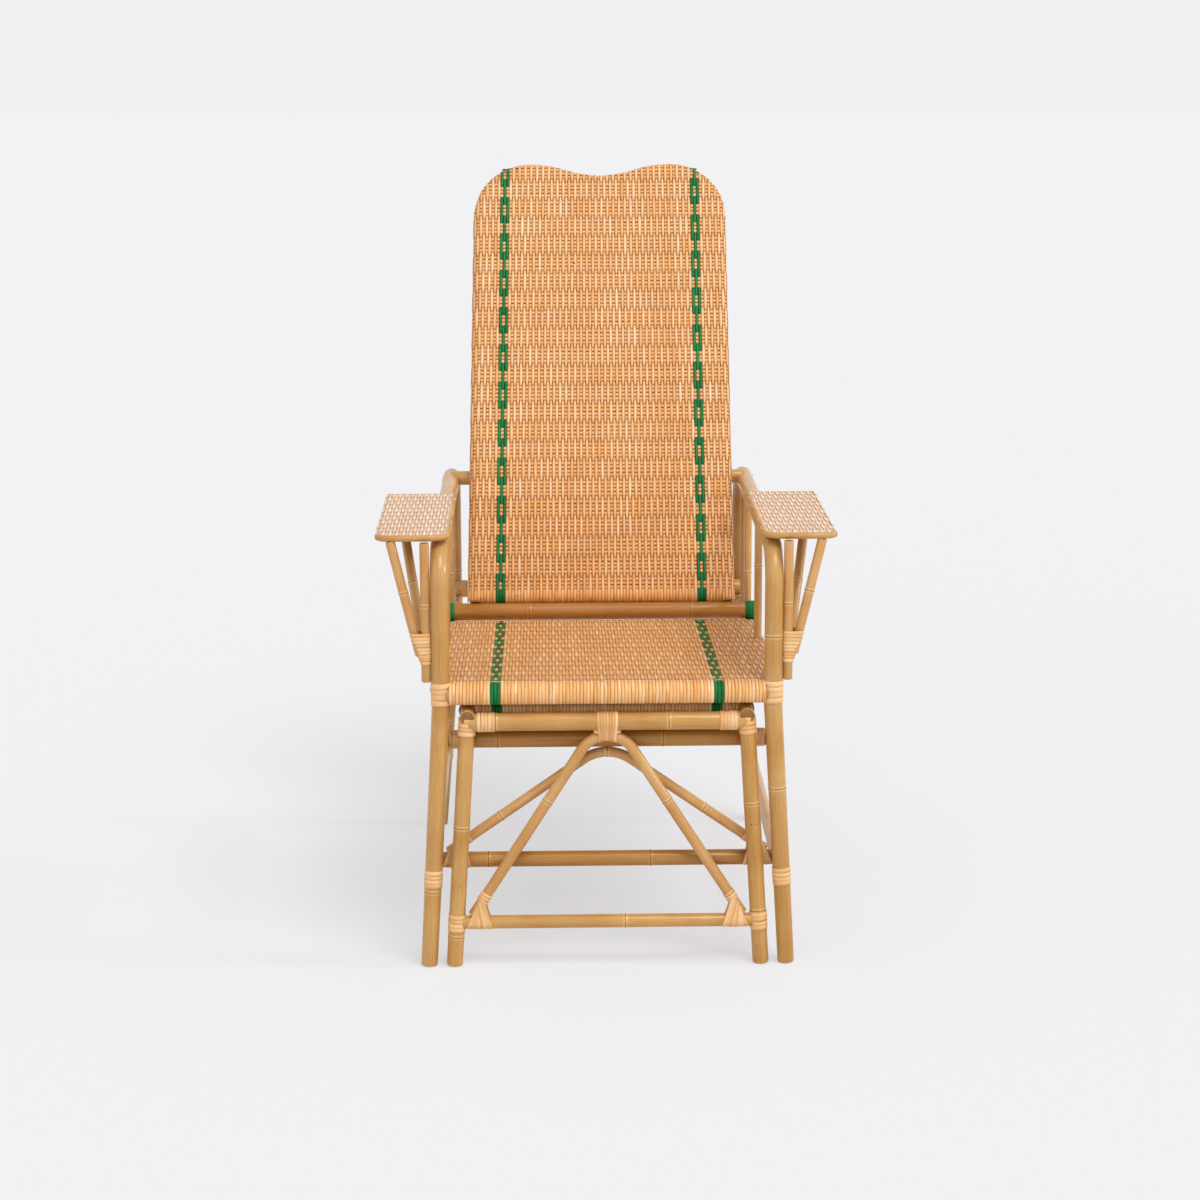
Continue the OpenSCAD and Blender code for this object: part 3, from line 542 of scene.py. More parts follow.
class Finishes:
    """Every finish of the chair, built once."""

    def __init__(self) -> None:
        """Builds the materials."""
        effects = Effects()
        golden = PoleFinish("golden_pole", (208, 154, 76), (172, 114, 42), (236, 200, 136), (98, 58, 24))
        # A darker copy of the golden pole for the bars low under the seat: painted shade.
        aged = PoleFinish("aged_pole", (186, 128, 50), (152, 98, 30), (204, 152, 76), (78, 46, 20))
        rod = PoleFinish("thin_rod", (216, 162, 90), (184, 124, 56), (238, 202, 144), (112, 68, 30))
        smoked = PoleFinish("smoked_pole", (188, 124, 48), (158, 96, 28), (206, 146, 72), (86, 48, 20))
        hidden = PoleFinish("hidden_rod", (208, 155, 92), (178, 122, 60), (226, 184, 130), (120, 76, 38),
                            follows_pole=False)
        cane = StrandFinish("cane_strand", (218, 144, 70), (236, 178, 110), (252, 220, 176), (158, 84, 30),
                            (58, 32, 16), 0.10)
        # A lighter copy of the cane for the trays: painted sheen of the light that glances off them.
        pale_cane = StrandFinish("pale_cane", (224, 170, 122), (242, 204, 166), (255, 238, 216),
                                 (158, 98, 56), (58, 32, 16), 0.06)
        peel = StrandFinish("peel_strip", (212, 152, 90), (230, 178, 118), (246, 212, 164), (158, 98, 50),
                            (90, 54, 28), 0.004)
        green = StrandFinish("green_peel", (2, 84, 38), (3, 108, 48), (10, 144, 62), (1, 40, 20), (4, 60, 30),
                             0.0, colour((40, 160, 85)), 0.0)
        self.aged, self.hidden, self.pale_cane = (f.build(effects) for f in (aged, hidden, pale_cane))
        self.end = EndFinish("sawn_end", (150, 104, 60), (84, 52, 28)).build(effects)
        self.steel = SteelFinish("zinc_screw", (196, 197, 196), (150, 150, 148)).build(effects)
        self.floor = FloorFinish("studio_floor", PALE_GREY, (230, 230, 233), 0.45).build()
        usual = {Slot.POLE: golden, Slot.ROD: rod, Slot.SMOKED: smoked, Slot.WEAVE: cane, Slot.PEEL: peel,
                 Slot.GREEN: green}
        self.by_slot = {slot: finish.build(effects) for slot, finish in usual.items()}

    def dress(self, piece: Object, body: Body, slot: Slot, node: str, finish: Material | None = None) -> None:
        """Gives a new piece its finish and its place on the chair.

        Args:
            piece: the new mesh.
            body: what it moves with.
            slot: the record's slot.
            node: the CAD node that it stands for.
            finish: its material, unless it has one or takes its slot's.
        """
        if not piece.data.materials:
            piece.data.materials.append(finish or self.by_slot[slot])
        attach(piece, body.value)
        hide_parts(node)
        LOG.info("%s: %d faces, rides on %s", piece.name, len(piece.data.polygons), body.value)

    def stand(self, pole: Pole, body: Body, slot: Slot, node: str, finish: Material | None = None) -> None:
        """Builds a pole and dresses it."""
        self.dress(pole.build(finish or self.by_slot[slot], self.end), body, slot, node)

    def bunch(self, rods: list[Pole], name: str, body: Body, node: str) -> None:
        """Builds thin rods and joins them into one piece.

        Args:
            rods: the rods.
            name: the piece's name.
            body: what it moves with.
            node: the CAD node that it stands for.
        """
        parts = [rod.build(self.by_slot[Slot.ROD], self.end) for rod in rods]
        take(*parts)
        bpy.ops.object.join()
        parts[0].name = name
        self.dress(parts[0], body, Slot.ROD, node)

    def repaint(self, node: str, finish: Material) -> None:
        """Gives a kept CAD node its finish.

        Args:
            node: the CAD node.
            finish: its material.
        """
        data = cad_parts[node].data
        data.materials.clear()
        data.materials.append(finish)


# Poles


def take(*pieces: Object) -> None:
    """Selects some objects alone and makes the first active."""
    bpy.ops.object.select_all(action="DESELECT")
    for piece in pieces:
        piece.select_set(True)
    bpy.context.view_layer.objects.active = pieces[0]


def lengths(points: np.ndarray) -> np.ndarray:
    """Distance along a line of points, at each of them."""
    steps = np.linalg.norm(np.diff(points, axis=0), axis=1)
    return np.concatenate([[0.0], np.cumsum(steps)])


def evenly(points: np.ndarray, step: float) -> np.ndarray:
    """The same line with its points a step apart.

    Args:
        points: the line's points in rows.
        step: wanted distance between points.
    Returns:
        The new points.
    """
    run = lengths(points)
    count = max(2, int(round(run[-1] / step)) + 1)
    wanted = np.linspace(0, run[-1], count)
    return np.stack([np.interp(wanted, run, points[:, axis]) for axis in range(3)], axis=1)


def rounded(corners: list[Vector], radii: list[float], steps: int = 14) -> np.ndarray:
    """A line with its inner corners rounded.

    Args:
        corners: the line's corners, ends included.
        radii: bend radius at each inner corner.
        steps: points round each bend.
    Returns:
        The line's points in rows.
    """
    points = [corners[0]]
    for before, corner, after, radius in zip(corners, corners[1:], corners[2:], radii):
        back, ahead = (before - corner).normalized(), (after - corner).normalized()
        half = back.angle(ahead) / 2
        reach = radius / math.tan(half)
        centre = corner + (back + ahead).normalized() * radius / math.sin(half)
        first, last = corner + back * reach, corner + ahead * reach
        for share in np.linspace(0, 1, steps):
            spoke = (first - centre).normalized().slerp((last - centre).normalized(), share)
            points.append(centre + spoke.normalized() * radius)
    points.append(corners[-1])
    return np.array([tuple(p) for p in points])


@dataclass
class Pole:
    """One rattan pole: a cylinder turned with growth rings, then bent along its route."""

    name: str
    route: np.ndarray
    radius: float
    rings: tuple[float, ...] = ()
    tips: tuple[float, float] | None = None
    taper: tuple[float, float] = (0.0, 0.0)
    sides: int = 26
    swell: float = 0.00042
    bevel: float = 0.0022
    bend_step: float = 0.0075
    ring_cuts = (-0.006, -0.0024, -0.001, 0.0, 0.001, 0.0024, 0.006)
    ring_swells = ((1.0, 0.0012), (0.4, 0.006))
    ring_reach = 0.02
    least_turn = 0.012
    least_gap = 0.0006
    smooth_angle = math.radians(40)

    def cuts(self, run: float) -> list[float]:
        """Where the pole is cut across, for its rings, its tapers and its bends.

        Args:
            run: the pole's length.
        Returns:
            Distances from its start.
        """
        places = [ring * run + off for ring in self.rings for off in self.ring_cuts]
        places += [self.taper[0], run - self.taper[1]]
        line = evenly(self.route, self.bend_step)
        heading = unit(np.diff(line, axis=0))
        turn = np.linalg.norm(np.diff(heading, axis=0), axis=1)
        places += list(lengths(line)[1:-1][turn > self.least_turn])
        places.sort()
        kept: list[float] = []
        for place in places:
            clear_of_ends = 2 * self.bevel < place < run - 2 * self.bevel
            if clear_of_ends and (not kept or place - kept[-1] > self.least_gap):
                kept.append(place)
        return kept

    def turn(self, run: float) -> Object:
        """Models the straight pole along X, with bevelled ends.

        Args:
            run: its length.
        Returns:
            The straight pole.
        """
        bpy.ops.object.select_all(action="DESELECT")
        bpy.ops.mesh.primitive_cylinder_add(vertices=self.sides, radius=self.radius, depth=run,
                                            end_fill_type="NGON", location=(run / 2, 0, 0),
                                            rotation=(0, math.pi / 2, 0))
        piece = bpy.context.active_object
        piece.name = self.name
        bpy.ops.object.transform_apply(location=True, rotation=True, scale=True)
        bpy.ops.object.mode_set(mode="EDIT")
        bpy.ops.mesh.select_mode(type="EDGE")
        bpy.ops.mesh.select_all(action="DESELECT")
        shape = bmesh.from_edit_mesh(piece.data)
        for edge in shape.edges:
            edge.select_set(abs(edge.verts[0].co.x - edge.verts[1].co.x) < 1e-6)
        bmesh.update_edit_mesh(piece.data)
        bpy.ops.mesh.bevel(offset=self.bevel, segments=2, affect="EDGES")
        for place in self.cuts(run):
            bpy.ops.mesh.select_all(action="SELECT")
            bpy.ops.mesh.bisect(plane_co=(place, 0, 0), plane_no=(1, 0, 0))
        bpy.ops.object.mode_set(mode="OBJECT")
        return piece

    def shape(self, piece: Object, run: float) -> None:
        """Swells the growth rings, tapers the ends and keeps the straight place for the finish.

        Args:
            piece: the straight pole.
            run: its length.
        """
        count = len(piece.data.vertices)
        places = np.zeros(count * 3, np.float32)
        piece.data.vertices.foreach_get("co", places)
        places = places.reshape(-1, 3).astype(float)
        along = places[:, 0]
        distance = np.full(count, self.ring_reach)
        grown = np.zeros(count)
        for ring in self.rings:
            off = along - ring * run
            distance = np.minimum(distance, np.abs(off))
            for share, width in self.ring_swells:
                grown += share * self.swell * np.exp(-(off / width) ** 2)
        scale = 1 + grown / self.radius
        if self.tips:
            inner = max(run - self.taper[1], 1e-6)
            tip = np.interp(along, [0, max(self.taper[0], 1e-6), inner, run],
                            [self.tips[0], self.radius, self.radius, self.tips[1]])
            scale *= tip / self.radius
        straight = places.copy()
        places[:, 1:] *= scale[:, None]
        piece.data.vertices.foreach_set("co", places.astype(np.float32).ravel())
        mark = piece.data.attributes.new("straight", "FLOAT_VECTOR", "POINT")
        straight[:, 0] += (hash_of(self.name) % 97) * 0.31  # each pole has its own stretch of the finish
        mark.data.foreach_set("vector", straight.astype(np.float32).ravel())
        near = piece.data.attributes.new("ring", "FLOAT", "POINT")
        near.data.foreach_set("value", distance.astype(np.float32))

    def build(self, finish: Material, end: Material) -> Object:
        """Makes the pole.

        Args:
            finish: the skin's material.
            end: the sawn ends' material.
        Returns:
            The pole, bent along its route.
        """
        line = evenly(self.route, POLE_POINTS)
        run = float(lengths(line)[-1])
        piece = self.turn(run)
        self.shape(piece, run)
        piece.data.materials.append(finish)
        piece.data.materials.append(end)
        for face in piece.data.polygons:
            face.material_index = int(len(face.vertices) == self.sides)
        curve = bpy.data.curves.new("route", "CURVE")
        curve.dimensions = "3D"
        spline = curve.splines.new("POLY")
        spline.points.add(len(line) - 1)
        spline.points.foreach_set("co", np.c_[line, np.ones(len(line))].ravel())
        guide = bpy.data.objects.new("route", curve)
        bpy.context.scene.collection.objects.link(guide)
        bend = piece.modifiers.new("Route", "CURVE")
        bend.object = guide
        bend.deform_axis = "POS_X"
        take(piece)
        bpy.ops.object.modifier_apply(modifier=bend.name)
        bpy.ops.object.shade_smooth_by_angle(angle=self.smooth_angle)
        bpy.data.objects.remove(guide)
        bpy.data.curves.remove(curve)
        return piece


def line_of(*points: Vector | tuple[float, float, float]) -> np.ndarray:
    """Points in rows."""
    return np.array([tuple(p) for p in points], float)


# Strands


@dataclass(frozen=True)
class Section:
    """Cross-section of a strand, as shares of its half width and its thickness."""

    across: tuple[float, ...]
    up: tuple[float, ...]


DOMED = Section((-1.0, -0.62, 0.0, 0.62, 1.0, 0.0), (0.0, 0.74, 1.0, 0.74, 0.0, -0.3))
FLAT = Section((-1.0, -0.9, 0.0, 0.9, 1.0, 0.0), (0.0, 0.88, 1.0, 0.88, 0.0, -0.05))


@dataclass
class Strand:
    """One strip: its middle line, which way it faces, and its size and look along the way, with values that
    set its painted shade at depth and along its edges and its painted highlight.
    """

    points: np.ndarray
    facing: np.ndarray
    half: np.ndarray | float
    thick: float
    tone: np.ndarray | float = 0.5
    sunk: np.ndarray | float = 0.0
    rim: np.ndarray | float = 0.3
    shine: np.ndarray | float = 0.0
    closed: bool = False
    section: Section = DOMED


class Bundle:
    """Strands gathered into one mesh piece."""

    fibre_step = 0.037
    first_cap = ((5, 2, 1, 0), (4, 3, 2, 5))
    last_cap = ((0, 1, 2, 5), (5, 2, 3, 4))

    def __init__(self, name: str) -> None:
        """Starts an empty bundle.

        Args:
            name: the piece's name.
        """
        self.name = name
        self.count = 0
        self.points: list[np.ndarray] = []
        self.faces: list[np.ndarray] = []
        self.fibre: list[np.ndarray] = []
        self.marks: dict[str, list[np.ndarray]] = {"tone": [], "depth": [], "shine": []}

    def lay(self, strand: Strand) -> None:
        """Adds one strand as a closed solid.

        Args:
            strand: the strand.
        """
        points, rows = strand.points, len(strand.points)
        if strand.closed:
            heading = unit(np.roll(points, -1, 0) - np.roll(points, 1, 0))
        else:
            heading = unit(np.gradient(points, axis=0))
        across = unit(np.cross(heading, strand.facing))
        up = np.cross(across, heading)
        sides, rise = np.array(strand.section.across), np.array(strand.section.up)
        size = len(sides)
        offset = np.broadcast_to(strand.half, rows)[:, None] * sides
        height = np.broadcast_to(rise * strand.thick, (rows, size))
        ring = points[:, None] + across[:, None] * offset[..., None] + up[:, None] * height[..., None]
        last = rows if strand.closed else rows - 1
        here = np.arange(last)[:, None] * size
        there = ((np.arange(last) + 1) % rows)[:, None] * size
        first, second = np.arange(size)[None], ((np.arange(size) + 1) % size)[None]
        walls = np.stack([here + first, here + second, there + second, there + first], -1).reshape(-1, 4)
        parts = [walls]
        if not strand.closed:
            parts += [np.array(self.first_cap), np.array(self.last_cap) + (rows - 1) * size]
        run = np.broadcast_to(lengths(points)[:, None], offset.shape)
        place = np.full(offset.shape, self.fibre_step * len(self.points))
        # The depth mark is painted shade: deeper strands and their edges are drawn darker.
        rim = np.abs(sides) ** 2
        rim[-1] = 1.0
        depth = np.broadcast_to(strand.sunk, rows)[:, None] + np.broadcast_to(strand.rim, rows)[:, None] * rim
        self.points.append(ring.reshape(-1, 3))
        self.faces.append(np.concatenate(parts) + self.count)
        self.fibre.append(np.stack([run, offset, place], -1).reshape(-1, 3))
        self.marks["tone"].append(np.repeat(np.broadcast_to(strand.tone, rows), size))
        self.marks["depth"].append(np.clip(depth, 0, 1).reshape(-1))
        self.marks["shine"].append(np.repeat(np.broadcast_to(strand.shine, rows), size))
        self.count += rows * size

    def piece(self) -> Object:
        """Writes the bundle's mesh.

        Returns:
            The piece.
        """
        points = np.concatenate(self.points).astype(np.float32)
        faces = np.concatenate(self.faces).astype(np.int32)
        mesh = bpy.data.meshes.new(self.name)
        mesh.vertices.add(len(points))
        mesh.vertices.foreach_set("co", points.ravel())
        mesh.loops.add(faces.size)
        mesh.loops.foreach_set("vertex_index", faces.ravel())
        mesh.polygons.add(len(faces))
        mesh.polygons.foreach_set("loop_start", np.arange(0, faces.size, 4, dtype=np.int32))
        mesh.polygons.foreach_set("use_smooth", np.ones(len(faces), bool))
        mesh.update(calc_edges=True)
        mesh.validate()
        fibre = mesh.attributes.new("fibre", "FLOAT_VECTOR", "POINT")
        fibre.data.foreach_set("vector", np.concatenate(self.fibre).astype(np.float32).ravel())
        for label, values in self.marks.items():
            mark = mesh.attributes.new(label, "FLOAT", "POINT")
            mark.data.foreach_set("value", np.concatenate(values).astype(np.float32))
        piece = bpy.data.objects.new(self.name, mesh)
        bpy.context.scene.collection.objects.link(piece)
        return piece


@dataclass(frozen=True)
class Plane:
    """A plane in which a strip of peel goes round what it ties."""

    origin: Vector
    right: Vector
    upward: Vector

    def place(self, flat: np.ndarray) -> np.ndarray:
        """Points of the plane in the chair's frame."""
        right, upward = np.array(self.right), np.array(self.upward)
        return np.array(self.origin) + flat[:, :1] * right + flat[:, 1:] * upward


def belt(plane: Plane, circles: list[tuple[float, float, float]], half: float, thick: float, tone: float,
         lean: float = 0.0, steps: int = 40) -> Strand:
    """One closed turn of peel, drawn tight round one or more round pieces.

    Args:
        plane: the plane of the turn.
        circles: each piece's middle in the plane and its radius.
        half: half the strip's width.
        thick: the strip's thickness.
        tone: its tone.
        lean: how far the turn rises out of the plane on its way round.
        steps: points round it.
    Returns:
        The strand.
    """
    turn = np.linspace(0, 2 * math.pi, 160, endpoint=False)
    ways = np.stack([np.cos(turn), np.sin(turn)], 1)
    reach = np.array([[x * w[0] + y * w[1] + r for x, y, r in circles] for w in ways])
    chosen = np.array(circles)[np.argmax(reach, axis=1)]
    flat = chosen[:, :2] + ways * (chosen[:, 2:] + 0.2 * thick)
    closed, ways = np.r_[flat, flat[:1]], np.r_[ways, ways[:1]]
    run = lengths(closed)
    wanted = np.linspace(0, run[-1], steps, endpoint=False)
    drawn, out = (np.stack([np.interp(wanted, run, line[:, k]) for k in (0, 1)], 1)
                  for line in (closed, ways))
    normal = np.array(plane.right.cross(plane.upward))
    points = plane.place(drawn) + normal * (lean * np.sin(2 * math.pi * wanted / run[-1]))[:, None]
    facing = unit(plane.place(out) - np.array(plane.origin))
    # The strip's edges carry a little painted shade.
    return Strand(points, facing, half, thick, tone, rim=0.1, closed=True, section=FLAT)


@dataclass
class Wrap:
    """Turns of peel laid side by side round a straight pole."""

    start: Vector
    end: Vector
    radius: float
    strip: float
    thick: float

    def lay_in(self, bundle: Bundle, luck: np.random.Generator) -> None:
        """Lays the turns.

        Args:
            bundle: where they go.
            luck: source of small differences.
        """
        axis = self.end - self.start
        run = axis.length
        count = max(1, round(run / self.strip))
        pitch = run / count
        axis.normalize()
        right = axis.orthogonal().normalized()
        upward = axis.cross(right)
        for turn in range(count):
            plane = Plane(self.start + axis * (turn + 0.5) * pitch, right, upward)
            circle = (0.0, 0.0, self.radius + luck.uniform(0, 0.00025))
            bundle.lay(belt(plane, [circle], pitch * 0.52, self.thick, luck.uniform(0.35, 0.75),
                            luck.uniform(-LEAN, LEAN)))


# Woven faces


@dataclass(frozen=True)
class Roll:
    """A pole that a woven face is wrapped round."""

    at: float
    radius: float


@dataclass
class Face:
    """A woven face stretched over poles. It is flat between them and rolls round each at the edges.

    Places on it are u across, v along and w outwards, from the middle of the weave.
    """

    origin: Vector
    along: Vector
    outward: Vector
    front: Roll
    rear: Roll
    side: Roll
    warp_tuck = 3.3
    weft_tuck = 3.2

    def to_space(self, local: np.ndarray, shift: bool = True) -> np.ndarray:
        """Local points, or directions, in the chair's frame."""
        basis = np.array([tuple(RIGHTWARD), tuple(self.along), tuple(self.outward)])
        return local @ basis + (np.array(self.origin) if shift else 0.0)

    def across(self, u: float) -> tuple[float, float, np.ndarray]:
        """Where a warp lies across the face, flat or on a side's roll.

        Args:
            u: distance from the middle, measured along the weave.
        Returns:
            The straight distance, the drop, and the facing there.
        """
        over = max(abs(u) - self.side.at, 0.0) / self.side.radius
        sign = math.copysign(1.0, u)
        reach = min(abs(u), self.side.at) + self.side.radius * math.sin(over)
        return sign * reach, -self.side.radius * (1 - math.cos(over)), np.array(
            [sign * math.sin(over), 0.0, math.cos(over)])

    def on_warp(self, u: float, run: np.ndarray) -> tuple[np.ndarray, np.ndarray]:
        """Places along a warp.

        Args:
            u: the warp's place across.
            run: distances along it, flat from the front pole's axis to the rear pole's.
        Returns:
            Local points and facings.
        """
        reach, drop, facing = self.across(u)
        back = np.maximum(self.front.at - run, 0) / self.front.radius
        ahead = np.maximum(run - self.rear.at, 0) / self.rear.radius
        turn = back + ahead
        radius = np.where(back > 0, self.front.radius, self.rear.radius)
        v = np.clip(run, self.front.at, self.rear.at) + radius * np.sin(turn) * np.where(back > 0, -1, 1)
        w = drop - radius * (1 - np.cos(turn))
        ways = columns(facing[0], np.sin(turn) * np.where(back > 0, -1, 1), np.cos(turn) * facing[2])
        return columns(reach, v, w), unit(ways)

    def on_weft(self, v: float, run: np.ndarray) -> tuple[np.ndarray, np.ndarray]:
        """Places along a weft.

        Args:
            v: the weft's place along the face, measured along the weave.
            run: distances along it from the middle.
        Returns:
            Local points and facings.
        """
        spot, tilt = self.on_warp(0.0, np.array([v]))
        over = np.maximum(np.abs(run) - self.side.at, 0) / self.side.radius
        sign = np.sign(run)
        u = sign * (np.minimum(np.abs(run), self.side.at) + self.side.radius * np.sin(over))
        drop = self.side.radius * (1 - np.cos(over))
        ways = columns(sign * np.sin(over), tilt[0, 1] * np.cos(over), np.cos(over) * tilt[0, 2])
        return columns(u, spot[0, 1], spot[0, 2] - drop), unit(ways)

    def warp_span(self, u: float) -> tuple[float, float]:
        """First and last distance along a warp."""
        before, after = (self.warp_tuck * roll.radius for roll in (self.front, self.rear))
        return self.front.at - before, self.rear.at + after

    def weft_spans(self, v: float) -> list[tuple[float, float]]:
        """Stretches of a weft, as first and last distances from the middle."""
        end = self.side.at + self.weft_tuck * self.side.radius
        return [(-end, end)]


@dataclass
class HoopFace(Face):
    """The back's face, whose top and sides are one bent hoop with two humps and a dip."""

    corner_x: float = 0.120
    corner_r: float = 0.081
    shoulder: float = 0.6925
    wave_r: float = 0.185
    hump: float = 0.7735
    wave_x: float = 0.060
    foot: float = 0.0152
    foot_half: float = 0.009
    dip: float = 0.020
    corner_tuck: float = 2.9
    top_share: float = 0.97
    inner_share: float = 0.93

    @property
    def dip_centre(self) -> float:
        """Height of the middle of the dip's arc."""
        return self.hump - self.dip + self.wave_r

    def top_at(self, x: float, out: np.ndarray | float) -> np.ndarray | float:
        """Height, over a place across, at which the weave is so far outside the hoop's axis.

        Args:
            x: place across.
            out: distance outside the axis.
        Returns:
            The height.
        """
        size = abs(x)
        if size > self.corner_x:
            inside = (self.corner_r + out) ** 2 - (size - self.corner_x) ** 2
            return self.shoulder + np.sqrt(np.maximum(inside, 0))
        if size > self.wave_x:
            return self.hump - self.wave_r + np.sqrt((self.wave_r + out) ** 2 - (size - self.corner_x) ** 2)
        return self.dip_centre - np.sqrt((self.wave_r - out) ** 2 - size ** 2)

    def outside(self, x: np.ndarray, z: np.ndarray) -> tuple[np.ndarray, np.ndarray]:
        """How far places lie outside the hoop's axis, and which way out is.

        Args:
            x: places across.
            z: heights.
        Returns:
            Distances, and directions in rows of x and z.
        """
        size, sign = np.abs(x), np.sign(x)
        corner = columns(size - self.corner_x, z - self.shoulder)
        hump = columns(size - self.corner_x, z - (self.hump - self.wave_r))
        dip = columns(-size, self.dip_centre - z)
        out = np.where(size > self.corner_x,
                       np.where(z > self.shoulder, np.linalg.norm(corner, axis=1) - self.corner_r,
                                size - self.side.at),
                       np.where(size > self.wave_x, np.linalg.norm(hump, axis=1) - self.wave_r,
                                self.wave_r - np.linalg.norm(dip, axis=1)))
        out = np.where((size <= self.corner_x) & (z < self.shoulder), -0.01, out)
        ways = np.where((size > self.corner_x)[:, None],
                        np.where((z > self.shoulder)[:, None], corner, np.array([1.0, 0.0])),
                        np.where((size > self.wave_x)[:, None], hump, dip))
        return out, unit(ways) * columns(sign, 1.0)

    def over_edge(self, x: np.ndarray, z: np.ndarray) -> tuple[np.ndarray, np.ndarray]:
        """Points and facings on the front half of the hoop's roll, or on the flat."""
        out, ways = self.outside(x, z)
        share = np.clip(out / self.side.radius, 0, 1)
        w = -self.side.radius * (1 - np.sqrt(1 - share ** 2))
        return columns(x, z, w), unit(np.c_[ways * share[:, None], np.sqrt(1 - share ** 2)])

    def on_warp(self, u: float, run: np.ndarray) -> tuple[np.ndarray, np.ndarray]:
        """Places along a warp, which rolls over the hoop at its top.

        Args:
            u: the warp's place across.
            run: distances along it.
        Returns:
            Local points and facings.
        """
        points, facings = super().on_warp(u, run)
        x, drop, facing = self.across(u)
        if abs(u) > self.side.at - self.foot_half:
            foot = run < self.front.at
            points[foot] = columns(x, run[foot], drop)
            facings[foot] = facing
        if abs(u) > self.side.at:
            rising = run > self.shoulder
            points[rising], facings[rising] = self.over_edge(np.full(rising.sum(), x), run[rising])
            return points, facings
        edge = float(self.top_at(x, 0.0))
        rolled = run > edge
        turn = (run[rolled] - edge) / self.side.radius
        z = self.top_at(x, self.side.radius * np.sin(turn))
        ways = self.outside(np.full(len(turn), x), z + 1e-6)[1]
        points[rolled] = columns(x, z, -self.side.radius * (1 - np.cos(turn)))
        facings[rolled] = unit(np.c_[ways * np.sin(turn)[:, None], np.cos(turn)])
        flat = (run > self.front.at) & ~rolled
        points[flat] = columns(x, run[flat], 0.0)
        facings[flat] = np.array([0.0, 0.0, 1.0])
        return points, facings

    def on_weft(self, v: float, run: np.ndarray) -> tuple[np.ndarray, np.ndarray]:
        """Places along a weft, which rolls round the hoop at its ends.

        Args:
            v: its height.
            run: distances from the middle.
        Returns:
            Local points and facings.
        """
        if v <= self.shoulder:
            return super().on_weft(v, run)
        edge = self.side_at(v, 0.0)
        size, sign = np.abs(run), np.sign(run)
        turn = np.maximum(size - edge, 0) / self.side.radius
        x = np.where(turn > 0, self.side_at(v, self.side.radius * np.sin(turn)), size) * sign
        points, facings = self.over_edge(x, np.full(len(run), v))
        behind = turn > math.pi / 2
        points[behind, 2] = -2 * self.side.radius - points[behind, 2]
        facings[behind, 2] *= -1
        return points, facings

    def side_at(self, z: float, out: np.ndarray | float) -> np.ndarray | float:
        """Place across, at a height over the shoulder, that is so far outside the hoop's axis."""
        rise = min(z - self.shoulder, self.corner_r)
        return self.corner_x + np.sqrt(np.maximum((self.corner_r + out) ** 2 - rise ** 2, 0))

    def warp_span(self, u: float) -> tuple[float, float]:
        """First and last distance along a warp."""
        x = self.across(u)[0]
        start = self.front.at - self.warp_tuck * self.front.radius
        if abs(u) > self.side.at - self.foot_half:
            start = self.foot
        if abs(u) > self.side.at:
            return start, float(self.top_at(x, self.top_share * self.side.radius))
        return start, float(self.top_at(x, 0.0)) + self.weft_tuck * self.side.radius

    def weft_spans(self, v: float) -> list[tuple[float, float]]:
        """Stretches of a weft: one, or one in each hump near the top."""
        if v <= self.shoulder:
            return super().weft_spans(v)
        end = float(self.side_at(v, 0.0)) + self.corner_tuck * self.side.radius
        x = np.linspace(0, self.corner_x, 241)
        out = self.outside(x, np.full(len(x), v))[0]
        inside = x[out < self.inner_share * self.side.radius]
        if not len(inside):
            return []
        if v > self.hump:
            end = self.corner_x + 0.03
        if inside[0] < 0.001:
            return [(-end, end)]
        return [(-end, -float(inside[0])), (float(inside[0]), end)]


